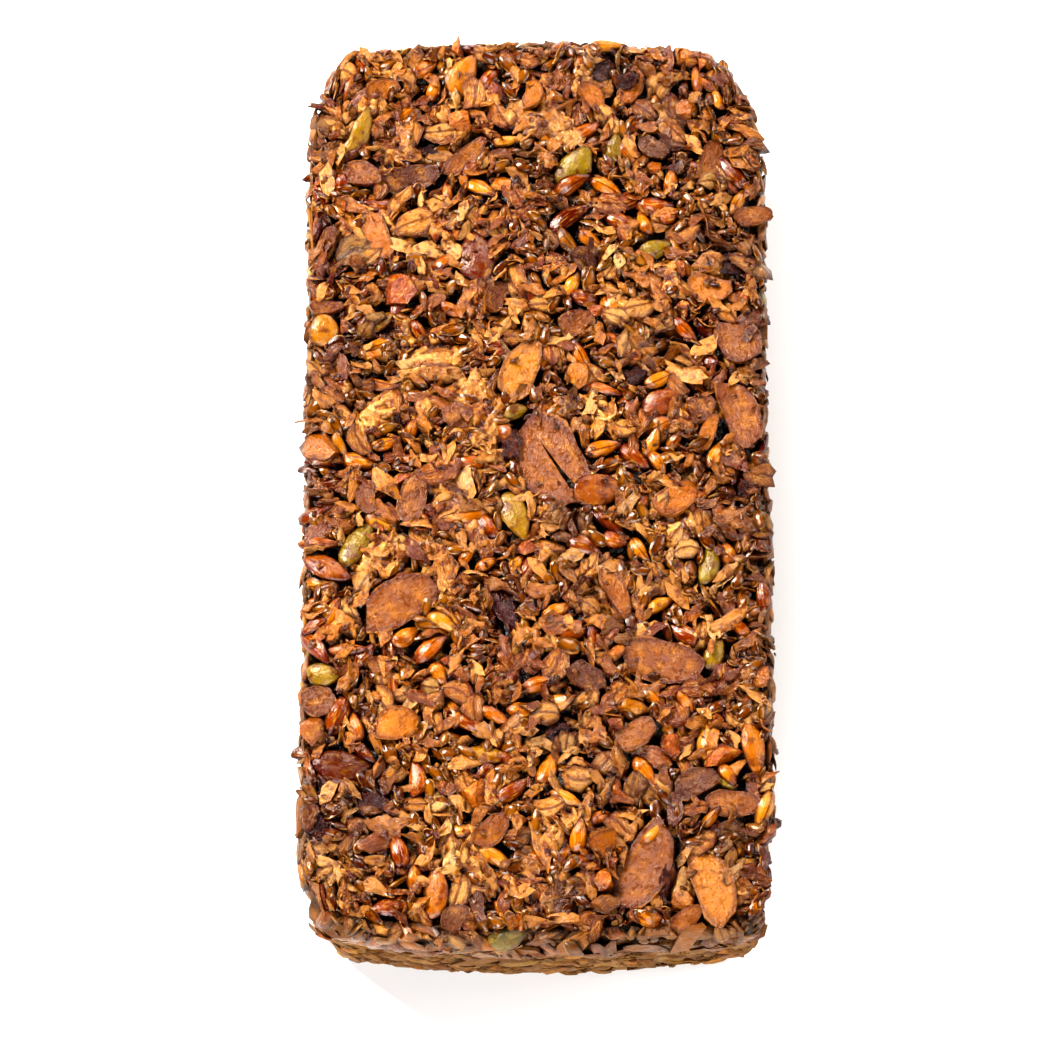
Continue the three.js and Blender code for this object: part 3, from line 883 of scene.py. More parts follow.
# The big slices and shards of the top: x, y, length, width, turn from +X, shade from 0 dark to 1 golden
ALMONDS_SHOWN = [
    (3.5, 2.5, 25, 17, -62, 0.45, CRACKED), (-34.5, -34.5, 22, 11, 30, 0.5),
    (31, -49.5, 22, 10.5, -15, 0.42), (26, -102, 23, 12.5, 60, 0.5), (42.5, -107, 22, 9.5, -72, 0.85),
    (51, 15.5, 20, 9.5, -68, 0.45), (51, 35, 13.5, 11.5, -65, 0.5), (-4, 27, 17, 9, 65, 0.9),
    (-32.5, 79.8, 16, 7, 5, 0.18), (-44.8, 80.5, 12, 6.5, -20, 0.3), (48, -86, 14, 6.5, -10, 0.5),
    (39, -81, 12, 7, 20, 0.35), (24.5, -68.5, 11, 7, 30, 0.7), (45, 85, 14, 6, 72, 0.35),
    (-40.5, 64, 15, 6.5, -70, 0.75), (-31, -7, 14, 7, 75, 0.35), (35, -7, 14, 7.5, 40, 0.7),
    (-54, -60, 9, 8, 20, 0.3), (-34.5, -66, 13, 8, 15, 0.8), (44, 49.5, 12, 7, -10, 0.8),
    (-18.5, 85.5, 14, 5, 39, 0.5), (-10.5, 47, 9.5, 5.5, 60, 0.25), (24.5, 105, 11, 5.5, 65, 0.7),
    (14.3, 102.5, 8.5, 5.5, -50, 0.7), (-40, 104.5, 9.5, 5.5, 10, 0.65), (41.5, 17, 7.5, 7, 20, 0.2),
    (43.2, 10.5, 10, 4, 68, 0.8), (-11.5, -93, 11, 6, 42, 0.5), (12, -53.5, 11, 6.5, -25, 0.2),
    (16.5, -95.5, 8.5, 6.5, 15, 0.75), (36, -115, 9, 5, 35, 0.6), (-20, -115, 8.5, 5.5, 60, 0.25),
    (-42.5, -7, 9, 5, 90, 0.3), (19.5, -32, 14, 5, -62, 0.65), (30, 88, 9, 5, -30, 0.3),
    (-1, 103, 9, 5, 80, 0.7), (-53, 62, 9, 5, 70, 0.3), (10, 40, 10, 6, 20, 0.4),
    (-20, 15, 9, 6, -40, 0.35), (-53.5, 44, 9, 4, 0, 0.3), (55.5, 69, 11, 5, 18, 0.6),
]


def almond_colour(paint):
    place, spot = paint.place(), paint.vector("spot")
    skin = shaded(paint, (84, 44, 16), (122, 70, 28), (156, 90, 38), (194, 114, 42), (228, 150, 62))
    mottle = place.clouds(260, 5, 0.7)
    light = paint.mix(skin, seen(220, 146, 58), mottle.between(0.5, 0.66) * 0.45)
    dark = paint.mix(light, seen(98, 44, 12), (1 - mottle).between(0.5, 0.66) * 0.55)
    across = spot.stretched((1, 1, 0)).length() + 0.5 * mottle
    edge = paint.mix(dark, seen(84, 34, 10), across.between(0.95, 1.25) * 0.7)
    lined = paint.mix(edge, seen(218, 146, 78), across.between(1.22, 1.28) * 0.4)
    pale = paint.mix(lined, seen(150, 98, 54), paint.value("pressed") * 0.55)
    return roasted_and_shaded(paint, pale, 0.7, 0.8)


def streaks(paint, stretch, scale, detail, rough=0.6):
    """Clouds drawn out along a piece, that each piece has a different part of."""
    along = paint.vector("spot").stretched(stretch).moved(paint.value("dice") * 30)
    return along.clouds(scale, detail, rough)


def relief(stretch, scale, lines=1.0, grain=0.2, distance=0.0004, strength=0.7, beads=0.0):
    """Fine lines that follow the piece, with a grain of small pits and beads of syrup."""

    def normal(paint):
        pits = paint.place().clouds(900, 4, 0.7)
        height = streaks(paint, stretch, scale, 3) * lines + pits * grain + pits.between(0.56, 0.66) * beads
        return height.bump(strength, distance)

    return normal


almond_draw = np.random.default_rng(31)
almonds = []
shown(almonds, ALMONDS_SHOWN, ALMOND_THICK, almond_draw, 3, 0.3, keep=0.85)
scatter(almonds, wall, 190, (15, 6.5, 1.4), almond_draw, (3, 7), tries=8)
scatter(almonds, base, 60, (17, 9, 1.5), almond_draw, (3, 7), tries=6)
joined(
    "almond_slices", almonds, ALMOND_SHAPES, almond_draw,
    material(
        "toasted almond", almond_colour, slick(0.12, 0.42),
        relief((2, 5, 1), 1.4, 0.6, 0.8, 0.0008, beads=0.35), gloss=0.42,
    ),
    bend=0.3, lumps=0.05, sharp=42,
)

# ----------
# Dried fruit: a few wrinkled plum-dark pieces that swelled and caught in the
# oven. They sit deep among the seeds.


def craggy_shape(salt, coarse, fine, detail=3):
    """A small clump with folds and pits."""
    bm = bmesh.new()
    bmesh.ops.create_icosphere(bm, subdivisions=detail, radius=1)
    for vert in bm.verts:
        x, y, z = vert.co
        fold = coarse * noise(1.4 * x, 2 * y, 2 * z, 1.0, salt) + fine * noise(x, y, z, 0.33, salt + 50)
        vert.co *= 1 + float(fold)
    return unit_shape(bm)


FRUIT_SHAPES = [craggy_shape(salt, 0.5, 0.35) for salt in (60, 61, 62)]
FRUIT_SHOWN = [
    (-40, -85.5, 10, 8, 20, 0.4), (34.5, 101, 8, 6, 40, 0.6), (-8, -35, 16, 5.5, -65, 0.5),
    (-7, 7, 7, 6, 70, 0.3), (17.5, 111, 8, 6, 30, 0.2), (24, 107, 6, 5, 0, 0.2),
    (-52.5, -92, 8, 6, 60, 0.4), (5, -67, 8, 6, 40, 0.3), (-28, 87, 5, 4, 0, 0.2),
    (44, -92.5, 5, 3.5, 90, 0.5), (25, 26, 6, 4, 20, 0.3), (50, 57, 8, 6, 70, 0.2),
    (53, -4, 7, 5, 90, 0.3), (31, -106, 9, 5, 80, 0.4),
]


def fruit_colour(paint):
    dark = shaded(paint, (44, 14, 6), (84, 30, 16), (124, 52, 26))
    folds = paint.place().clouds(420, 4, 0.6).between(0.48, 0.66)
    return roasted_and_shaded(paint, paint.mix(dark, seen(150, 78, 46), folds * 0.5), 0.5, 0.6)


fruit_draw = np.random.default_rng(32)
fruit = []
shown(fruit, FRUIT_SHOWN, 3.0, fruit_draw, 3, -1.4)
scatter(fruit, wall, 26, (8, 5, 4), fruit_draw, (0, 3))
joined(
    "dried_fruit", fruit, FRUIT_SHAPES, fruit_draw,
    material(
        "dark dried fruit", fruit_colour, slick(0.08, 0.3), relief((3, 3, 3), 2.0, distance=0.0012), gloss=0.4
    ),
    bend=0.3, lumps=0.12,
)

# ----------
# Pumpkin seeds: flat ovals with a fine raised border and one pointed end.
# Some kept their olive green, others toasted to gold or brown.


def pumpkin_form(x, y, z):
    side = abs(y)
    full = 1 - 0.2 * x - 0.08 * x * x
    flat = 0.62 + 0.38 * side**2 if side > 0.55 else 0.85
    return Vector((x + 0.08 * max(0, x) ** 6, y * full, z * flat))


PUMPKIN_SHAPES = [lying_seed(16, 8, pumpkin_form), lying_seed(10, 6, pumpkin_form)]
PUMPKIN_SHOWN = [
    (-19.2, 107.8, 12.5, 7.6, 67, 0.52), (-46.1, 91.5, 14.5, 6.6, 65, 0.8),
    (9.8, 82.5, 12.5, 8.5, 50, 0.9), (-15.5, 58.3, 14, 9.4, 95, 0.1), (-54, 38, 9, 7.8, 90, 0.6),
    (15.5, -5, 14, 8.6, 10, 0.34), (-45, -19, 14.5, 6.4, 60, 0.9), (-52.4, -25.5, 12.5, 6.4, -25, 0.3),
    (-5.5, -11.5, 13, 7.2, -65, 0.8), (42.8, -24.5, 11, 5.4, 80, 0.9), (44, -48, 8.5, 5.2, 70, 0.85),
    (31, 18, 11, 7.2, 35, 0.25), (-48, -76.5, 14.5, 8.6, 8, 0.1), (53.2, -72, 14, 6, -80, 0.5),
    (-12.5, -73.7, 10.5, 5, -5, 0.7), (-25, -108.5, 13, 6.8, 80, 0.42), (-53, -53, 9, 6, 0, 0.85),
    (46.5, -79.5, 7.5, 4.6, -65, 0.9), (-5.5, 16, 6.5, 4, 20, 0.85), (30, 60, 9, 5, 20, 0.9),
    (20, 88, 8, 5, 80, 0.85), (-40, 40, 9, 5.5, 30, 0.7),
]


def pumpkin_colour(paint):
    place, spot = paint.place(), paint.vector("spot")
    skin = shaded(paint, (92, 44, 18), (148, 76, 24), (196, 118, 34), (172, 124, 42), (132, 118, 50))
    veins = streaks(paint, (1.2, 4.0, 2.0), 1.2, 4)
    streaked = paint.mix(skin, seen(230, 186, 92), veins.between(0.5, 0.75) * 0.35)
    toasted = paint.mix(streaked, seen(104, 46, 12), place.clouds(260, 4, 0.7).between(0.5, 0.62) * 0.75)
    # Darker round the sides: partly the seed's toasted border, partly painted shade where it turns away from
    # the top.
    lined = paint.mix(toasted, seen(84, 36, 10), (1 - abs(spot.axis(2))).between(0.45, 0.95) * 0.75)
    return roasted_and_shaded(paint, lined, 0.6, 0.8)


pumpkin_draw = np.random.default_rng(33)
pumpkins = []
shown(pumpkins, PUMPKIN_SHOWN, 2.9, pumpkin_draw, 1, 0.0)
scatter(pumpkins, wall, 150, (12.5, 6.5, 2.5), pumpkin_draw, (1, 2), tries=8)
scatter(pumpkins, base, 60, (13, 7, 2.5), pumpkin_draw, (1, 2))
joined(
    "pumpkin_seeds", pumpkins, PUMPKIN_SHAPES, pumpkin_draw,
    material(
        "pumpkin seed", pumpkin_colour, slick(0.12, 0.4),
        relief((1, 3, 2), 1.0, 0.6, 0.5, 0.0006, beads=0.3), gloss=0.45,
    ),
    bend=0.14, lumps=0.07,
)

# ----------
# Sunflower seeds, hulled: plump drops with a point, golden where they stood
# clear and red-brown where the syrup caught. The most common seed of the loaf.


def sunflower_form(point, flat_side):
    def form(x, y, z):
        full = 1 - point * x - 0.1 * x * x
        return Vector((x + 0.1 * max(0, x) ** 5, y * full, z * full * (flat_side if z < 0 else 1)))

    return form


SUNFLOWER_SHAPES = [
    lying_seed(around, along, sunflower_form(*form))
    for around, along in ((12, 8), (8, 6)) for form in ((0.26, 0.8), (0.2, 1.0), (0.3, 0.6))
]
SUNFLOWER_SIZE = (9.0, 4.5, 3.1)
SUNFLOWER_SHOWN = [
    (-29, 110.7, 8, 4.5, 28, 0.6), (-26.7, 104.5, 6.5, 4, 75, 0.7), (-12, 108, 7, 4, 50, 0.3),
    (-7.7, 90.2, 8, 3, 12, 0.9), (-14.5, 77, 8.7, 5, -30, 0.85), (-23, 76, 6.5, 2.8, 95, 0.6),
    (18.5, 117, 9, 3.4, 5, 0.85), (8.7, 77.5, 10.8, 4.5, 34, 0.5), (18, 77.2, 9.2, 4.2, -26, 0.7),
    (8, 68.7, 12, 5, 35, 0.1), (8, 62, 9, 4.2, -50, 0.85), (14, 62.5, 8.3, 4, -33, 0.7),
    (48.2, 104.2, 6, 4.8, 15, 0.8), (41.5, 107.5, 9, 3.2, 95, 0.6), (34.4, 79, 8.5, 3.8, 80, 0.6),
    (52, 73.5, 10, 3.4, 65, 0.85), (27.5, 67.5, 8, 3.5, 110, 0.75), (34, 69, 6.5, 3.2, 25, 0.4),
    (-20.5, 43.2, 9.5, 3.4, -20, 0.6), (-29.5, 37, 8.5, 3.4, -58, 0.25),
    (-39.5, 23.3, 9.2, 3.8, -15, 0.6), (-31.7, 11.2, 6, 3.4, 75, 0.6), (-38, 7.5, 8, 3.6, 17, 0.7),
    (-49.5, 7, 7.8, 3.2, -60, 0.85), (-16, 2.5, 8, 4, 5, 0.5), (9.2, 50.7, 7.4, 4, 70, 0.85),
    (37.6, 38, 8.4, 4.2, -44, 0.5), (31, 24.6, 8.8, 4, 26, 0.8), (45, 4.5, 8, 4.4, 65, 0.8),
    (16.4, 6.3, 9.6, 4.2, 13, 0.7), (24.7, 4, 9.6, 4.4, -40, 0.3), (30.2, 2.3, 8.2, 3.8, -62, 0.8),
    (34.7, 8, 6.6, 3.4, 55, 0.6), (16.5, 22, 10, 3.4, -15, 0.5), (-54.7, -19, 10.5, 3.4, 3, 0.6),
    (-51.2, -37, 9.3, 4.2, 60, 0.7), (-17.5, -22, 6.6, 3.4, 50, 0.6), (-12.7, -24.5, 6.4, 3.4, 30, 0.7),
    (-5.2, -24, 5.6, 3.2, 45, 0.9), (-23.5, -39.6, 9, 4.6, -23, 0.9), (-32.7, -43.2, 8.6, 4.6, 40, 0.75),
    (-26.6, -46.2, 10.5, 5, 42, 0.55), (-42.7, -48.2, 7.2, 4.2, 56, 0.15),
    (-47.5, -46.7, 11, 3.6, -3, 0.5), (-55, -46, 11.5, 4.6, -45, 0.3), (-24.5, -53, 6.6, 4.6, -50, 0.7),
    (11.7, -19.5, 9.8, 5.2, -24, 0.45), (19.5, -18, 7, 4.2, -15, 0.45), (25.5, -20.5, 7.4, 4.2, -55, 0.8),
    (47.7, -21.5, 7.4, 4.2, 105, 0.7), (30.5, -35, 7.6, 3.4, 25, 0.85), (5, -36.5, 9.2, 3.8, 22, 0.7),
    (51, -41.7, 8, 3.2, -45, 0.5), (28.7, -58.5, 8, 4.4, -48, 0.7), (37, -60, 8, 4.4, -55, 0.7),
    (23.3, -61.5, 8.6, 5, -10, 0.85), (0.5, -55.5, 9, 4, 15, 0.6), (5, -60.2, 10, 4.6, 8, 0.85),
    (-16.5, -65.7, 8.4, 4, -25, 0.3), (-10.5, -63.5, 8.6, 3.6, -28, 0.6),
    (-3.5, -62.5, 8.2, 4.2, -10, 0.7), (-6, -82.5, 9.8, 4.2, 32, 0.3), (-44.7, -66.5, 8.2, 3.8, 105, 0.6),
    (-29.6, -79.5, 10, 4.8, 92, 0.5), (-34, -97.7, 9.6, 4.8, 105, 0.45),
    (-29.8, -104.7, 8, 4.2, 88, 0.65), (-10, -99.7, 10.3, 4, -28, 0.85), (26.5, -78, 9.2, 4.4, -55, 0.7),
    (46.7, -79, 6.8, 4.4, -58, 0.75), (42.5, -89.3, 6.8, 3.2, 45, 0.7), (2.5, -77.3, 8.8, 4.8, 68, 0.75),
    (7, -84.6, 8.6, 3.4, -23, 0.9), (15.8, -89.5, 6.6, 3.4, 25, 0.6), (10.2, -94.5, 8.4, 4.4, 80, 0.75),
    (56.3, -32, 9, 4, 95, 0.3), (28, -94, 8, 2.8, 40, 0.85),
]


def sunflower_colour(paint):
    place, spot = paint.place(), paint.vector("spot")
    skin = shaded(paint, (84, 32, 10), (134, 60, 16), (178, 92, 26), (208, 126, 40), (228, 156, 66))
    lines = streaks(paint, (1.0, 3.5, 3.5), 1.5, 4, 0.65)
    pale = paint.mix(skin, seen(244, 190, 104), lines.between(0.5, 0.66) * 0.6)
    browned = place.clouds(330, 4, 0.7) + 0.2 * abs(spot.axis(0))
    toasted = paint.mix(pale, seen(116, 48, 10), browned.between(0.52, 0.72) * 0.7)
    # Painted shade of a crease along some seeds, which their shape doesn't have.
    crease = (1 - abs(spot.axis(1))).between(0.86, 0.96) * paint.value("dice").between(0.45, 0.55)
    creased = paint.mix(toasted, seen(90, 34, 8), crease * 0.7)
    # Painted shade: each seed is painted darker down its sides and underside.
    foot = (1 - spot.axis(2)).between(0.35, 0.95)
    return roasted_and_shaded(paint, paint.mix(creased, seen(76, 24, 6), foot * 0.85), 0.75, 0.85)


sunflower_draw = np.random.default_rng(34)
sunflowers = []
shown(sunflowers, SUNFLOWER_SHOWN, 3.1, sunflower_draw, 3, -0.4)
scatter(sunflowers, top, 270, SUNFLOWER_SIZE, sunflower_draw, (3, 6))
scatter(sunflowers, wall, 460, SUNFLOWER_SIZE, sunflower_draw, (3, 6), tries=12)
scatter(sunflowers, base, 220, SUNFLOWER_SIZE, sunflower_draw, (3, 6), tries=10)
joined(
    "sunflower_seeds", sunflowers, SUNFLOWER_SHAPES, sunflower_draw,
    material(
        "roast sunflower seed", sunflower_colour, slick(0.12, 0.34), relief((1, 3, 3), 1.2), gloss=0.48
    ),
    bend=0.18, lumps=0.1,
)

# ----------
# Rolled oats: rough cream flakes with a crease and torn edges, browned in
# places, softened by the soak and set in the crumb.


def oat_form(salt):
    def form(x, y, z):
        torn = 1 + 0.16 * math.sin(5 * x + 2 * y + salt) + 0.1 * math.sin(9 * x - 5 * y + 2 * salt)
        crease = math.exp(-((y / 0.16) ** 2)) if z > 0 else 0
        warp = 0.5 * math.sin(2.6 * x + salt) * y + 0.35 * math.sin(4.1 * y + 2 * x + salt)
        return Vector((x * (1 + 0.08 * math.sin(6 * y + salt)), y * torn, z * (1 - 0.75 * crease) + warp))

    return form


OAT_SHAPES = [
    lying_seed(around, along, oat_form(salt))
    for around, along in ((14, 7), (10, 5)) for salt in (0.3, 1.9, 3.4, 5.2)
]
OAT_SIZE = (8.2, 5.6, 1.7)
OATS_SHOWN = [
    (32, 39.5, 7, 6.5, 30, 0.8), (22.5, 34, 7, 5.5, 80, 0.9), (19, 55, 7, 6, 60, 0.8),
    (-30, 30, 9, 5.5, 30, 0.7), (-24, 28, 12, 9, 0, 0.6), (-31, 67, 11, 8, 20, 0.6),
    (-41, 41, 6, 4.4, 10, 0.95), (-43.5, 37.5, 7, 5, 50, 0.75), (-39, 16, 6, 4.6, 40, 0.95),
    (-45, 14.5, 5, 4, 70, 0.95), (-33.5, -19, 8, 5.4, 0, 0.95), (-43, -29, 8, 5.4, 60, 0.85),
    (-46.5, -40, 9, 5.4, -50, 0.6), (27.7, -30, 9, 6.5, 35, 0.85), (36.7, -32, 8, 5.4, -50, 0.8),
    (41.5, -14.5, 9, 5, 100, 0.6), (41, -41, 8, 4.8, 80, 0.7), (-26, -56.5, 6, 4.6, 0, 0.95),
    (-8.5, -52, 12, 6.5, 25, 0.3), (-22.5, -97, 9.5, 7, 60, 0.7), (-25, -86, 8, 6, 40, 0.98),
    (-28, -94, 8, 4, -70, 0.8), (-15, -109.5, 8, 6, 35, 0.7), (2.5, -87, 9, 6, 10, 0.7),
    (16.5, -83, 8, 5.4, 60, 0.75), (44, 78.5, 6, 4.6, 0, 0.9), (47, 74, 5, 4, 30, 0.98),
    (30, -9, 8, 6, 10, 0.85), (26, 44, 9, 6, 20, 0.8), (20, 41, 8, 5, -20, 0.85),
    (-6, 98, 8, 5.4, 70, 0.8),
]


def oat_colour(paint):
    place, spot = paint.place(), paint.vector("spot")
    flake = shaded(paint, (124, 58, 20), (168, 92, 36), (198, 124, 56), (218, 150, 86), (234, 180, 130))
    fibres = streaks(paint, (1.0, 3.0, 1.0), 3.0, 4, 0.7)
    pale = paint.mix(flake, seen(242, 194, 144), fibres.between(0.48, 0.6) * 0.6)
    toasted = paint.mix(pale, seen(134, 62, 16), place.clouds(460, 4, 0.7).between(0.48, 0.66) * 0.75)
    # Painted shade in the crease along each flake.
    crease = (1 - abs(spot.axis(1))).between(0.8, 0.97)
    creased = paint.mix(toasted, seen(104, 44, 10), crease * 0.75)
    rim = spot.stretched((1, 1, 0)).length().between(0.62, 0.98)
    return roasted_and_shaded(paint, paint.mix(creased, seen(104, 44, 8), rim * 0.75))


oat_draw = np.random.default_rng(35)
oats = []
shown(oats, OATS_SHOWN, 2.2, oat_draw, 4, -0.6, keep=0)
scatter(oats, top, 320, OAT_SIZE, oat_draw, (4, 8), stood=0.3)
scatter(oats, wall, 600, (7.6, 5.4, 1.3), oat_draw, (4, 8), tries=12)
scatter(oats, base, 220, OAT_SIZE, oat_draw, (4, 8), tries=10)
joined(
    "rolled_oats", oats, OAT_SHAPES, oat_draw,
    material(
        "rolled oat", oat_colour, slick(0.12, 0.42), relief((1.2, 5, 2), 2.0, grain=0.5, distance=0.0014)
    ),
    bend=0.35, lumps=0.16, sharp=80,
)

# ----------
# Chopped nuts: sharp-edged chips, orange to golden, cut from larger nuts
# with a knife, so that each has a few flat faces.


def nut_shape(draw):
    bm = bmesh.new()
    bmesh.ops.create_icosphere(bm, subdivisions=2, radius=1.25)
    for _ in range(5):
        way = Vector(draw.normal(0, 1, 3)).normalized()
        cut_off(bm, way * draw.uniform(0.55, 0.85), way)
    bmesh.ops.dissolve_limit(bm, angle_limit=0.25, verts=bm.verts, edges=bm.edges)
    return unit_shape(bm)


nut_draw = np.random.default_rng(36)
NUT_SHAPES = [nut_shape(nut_draw) for _ in range(7)]
NUTS_SHOWN = [
    (-55.5, 5.5, 10, 8, 10, 0.75), (-35.5, 47.5, 9, 8, 30, 0.4), (33, -71.5, 5, 4.6, 0, 0.5),
    (45.5, -74.5, 7.5, 5, 20, 0.5), (55.7, -54.2, 5.5, 4, 60, 0.7), (-55.5, -68, 7, 6, 0, 0.7),
    (16.5, -105, 5.5, 4.4, 40, 0.7), (16.5, -112, 6, 4.4, 0, 0.8), (10, 25, 7, 5, 40, 0.8),
    (-20, 95, 7, 5, 10, 0.7), (38, 98, 7, 5, 60, 0.7), (-15, -84, 7, 5, 30, 0.7),
]


def nut_colour(paint):
    place = paint.place()
    flesh = shaded(paint, (104, 44, 16), (160, 78, 26), (200, 112, 38), (218, 146, 64))
    grain = place.clouds(460, 4, 0.7)
    light = paint.mix(flesh, seen(240, 186, 104), grain.between(0.52, 0.68) * 0.55)
    dark = paint.mix(light, seen(104, 40, 10), (1 - grain).between(0.52, 0.66) * 0.75)
    # Painted shade: each chip is painted darker on its lower half.
    foot = (1 - paint.vector("spot").axis(2)).between(0.4, 1.2)
    return roasted_and_shaded(paint, paint.mix(dark, seen(84, 28, 8), foot * 0.7), 0.8, 0.85)


nuts = []
shown(nuts, NUTS_SHOWN, 4.6, nut_draw, 7, -0.6)
scatter(nuts, top, 150, (5.2, 3.2, 2.2), nut_draw, (0, 7), stood=0.5, spread_of=0.3)
scatter(nuts, wall, 420, (5.4, 3.2, 2.4), nut_draw, (0, 7), tries=12)
scatter(nuts, base, 180, (5.0, 3.8, 2.8), nut_draw, (0, 7), tries=8)
joined(
    "chopped_nuts", nuts, NUT_SHAPES, nut_draw,
    material("chopped nut", nut_colour, slick(0.16, 0.5), relief((2, 2, 2), 1.5, grain=0.5, distance=0.0009)),
    bend=0.15, lumps=0.2, sharp=28,
)

# ----------
# Flax seeds: small flat glossy drops, brown with a thin pale rim. They went
# everywhere, in clusters, flat on the top and edge on in the walls.


def flax_form(x, y, z):
    return Vector((x + 0.1 * max(0, x) ** 4, y * (1 - 0.28 * x), z))


FLAX_SHAPES = [lying_seed(8, 5, flax_form)]
FLAX_SIZE = (4.8, 2.5, 1.1)


def flax_colour(paint):
    spot = paint.vector("spot")
    skin = shaded(paint, (78, 36, 12), (114, 62, 24), (144, 88, 38), (174, 116, 56))
    toned = paint.mix(skin, seen(180, 116, 52), paint.place().clouds(900, 3, 0.6).between(0.5, 0.66) * 0.45)
    across = spot.stretched((1, 1, 0)).length()
    dark = paint.mix(toned, seen(52, 18, 4), across.between(0.4, 0.8) * 0.6)
    rimmed = paint.mix(dark, seen(214, 150, 84), across.between(0.84, 0.96) * 0.6)
    return roasted_and_shaded(paint, rimmed, 0.6, 0.8)


flax_draw = np.random.default_rng(37)
flax = []
scatter(flax, top, 1000, FLAX_SIZE, flax_draw, (0, 1), stood=0.2, tries=3)
scatter(flax, wall, 1300, FLAX_SIZE, flax_draw, (0, 1), tries=10)
scatter(flax, base, 500, FLAX_SIZE, flax_draw, (0, 1), tries=5)
joined(
    "flax_seeds", flax, FLAX_SHAPES, flax_draw,
    material(
        "flax seed", flax_colour, slick(0.14, 0.36), relief((2, 2, 2), 1.2, distance=0.0002), gloss=0.45
    ),
    bend=0.12, lumps=0.05,
)

# ----------
# Slivers: thin crumpled husks and shreds of oat and nut skin, lying or leaning
# every way between the seeds, stuck by the syrup.


def sliver_shape(salt):
    bm = bmesh.new()
    bmesh.ops.create_grid(bm, x_segments=4, y_segments=2, size=1)
    bmesh.ops.solidify(bm, geom=list(bm.verts) + list(bm.edges) + list(bm.faces), thickness=0.7)
    for vert in bm.verts:
        x, y, z = vert.co
        torn = 1 + 0.3 * math.sin(3.1 * x + 2 * salt) * math.cos(2.7 * y + salt)
        crumpled = 0.8 * math.sin(3.4 * x + salt) * math.cos(2.9 * y - salt)
        lifted = crumpled + 0.9 * x * x * math.cos(salt) + 0.4 * y
        vert.co = (x * torn * (1 - 0.2 * y * y), y * (1 - 0.5 * x * x) * torn, z + lifted)
    return unit_shape(bm)


SLIVER_SHAPES = [sliver_shape(salt) for salt in (0.2, 1.5, 2.8, 4.3)]


def sliver_colour(paint):
    skin = shaded(paint, (92, 42, 14), (142, 78, 30), (186, 116, 54), (216, 150, 92), (236, 184, 138))
    browned = paint.place().clouds(520, 4, 0.7)
    light = paint.mix(skin, seen(226, 166, 116), (1 - browned).between(0.54, 0.68) * 0.5)
    return roasted_and_shaded(paint, paint.mix(light, seen(102, 44, 10), browned.between(0.48, 0.64) * 0.75))


sliver_draw = np.random.default_rng(39)
slivers = []
scatter(
    slivers, top, 900, (6.6, 2.6, 1.0), sliver_draw, (0, 4),
    stood=0.4, tries=3, spread_of=0.3, sink=0.5, most=2.2,
)
scatter(slivers, wall, 700, (7.0, 2.6, 0.5), sliver_draw, (0, 4), tries=8, spread_of=0.3)
joined(
    "husk_slivers", slivers, SLIVER_SHAPES, sliver_draw,
    material("thin husk", sliver_colour, slick(0.14, 0.5), relief((1, 3, 1), 1.5, 0.8, 0.5, 0.0009)),
    bend=0.5, lumps=0.25, sharp=70,
)

# ----------
# Clumps and crumbs: torn lumps of oat, ground nut and syrup, and bits of them
# down to grains, stuck all over the loaf between the whole pieces.

CLUMP_SHAPES = [craggy_shape(salt, 0.45, 0.55, 2) for salt in range(70, 78)]


def bit_shape(draw):
    bm = bmesh.new()
    bmesh.ops.create_icosphere(bm, subdivisions=1, radius=1)
    for vert in bm.verts:
        vert.co *= draw.uniform(0.55, 1.3)
    return unit_shape(bm)


bit_draw = np.random.default_rng(38)
BIT_SHAPES = [bit_shape(bit_draw) for _ in range(8)]


def bit_colour(paint):
    place, spot = paint.place(), paint.vector("spot")
    # Painted shade in the hollows: each piece is darker where its surface lies nearer its middle and paler on
    # its bumps. The shade attribute is its own tone.
    tone_and_relief_shade = paint.value("shade") * 0.5 + spot.length().between(0.6, 1.4) * 0.5
    flesh = tone_and_relief_shade.ramp(spread((54, 22, 6), (106, 52, 16), (158, 92, 36), (202, 132, 72), (236, 178, 126)))
    grain = place.clouds(760, 4, 0.7)
    light = paint.mix(flesh, seen(234, 182, 114), grain.between(0.5, 0.66) * 0.4)
    return roasted_and_shaded(paint, paint.mix(light, seen(94, 38, 8), (1 - grain).between(0.5, 0.68) * 0.65))


clumps = []
scatter(
    clumps, top, 230, (6.6, 3.8, 2.0), bit_draw, (0, 8),
    stood=0.2, tries=3, spread_of=0.35, sink=0.8, most=2.3,
    where=lambda u, v: 0.15 + 0.85 * float(softness(u, v)),
)
joined(
    "crumb_clumps", clumps, CLUMP_SHAPES, bit_draw,
    material(
        "torn crumb", bit_colour, slick(0.14, 0.55),
        relief((2, 2, 2), 3.0, grain=0.8, distance=0.0018), gloss=0.6,
    ),
    bend=0.3, lumps=0.25, sharp=80,
)
bits = []
scatter(bits, top, 1500, (2.3, 1.2, 0.8), bit_draw, (0, 8), stood=0.4, tries=3, spread_of=0.4, most=1.7)
scatter(bits, top, 260, (1.9, 1.3, 0.8), bit_draw, (0, 8), stood=0.2, tries=1, spread_of=0.4, most=3.3)
scatter(bits, wall, 1800, (2.8, 1.6, 1.1), bit_draw, (0, 8), tries=6, spread_of=0.3)
joined(
    "crumb_bits", bits, BIT_SHAPES, bit_draw,
    material("loose crumb", bit_colour, slick(0.14, 0.5), relief((2, 2, 2), 1.0, grain=0.6, distance=0.0008)),
    bend=0.2, lumps=0.2, sharp=60,
)

# ----------
# The crust: fine crumb and syrup that ran between the pieces of the top and
# set with them. In soft patches it is torn into shreds and half buries what
# lies there, and elsewhere it lies deep under loose pieces, painted dark there as shade.

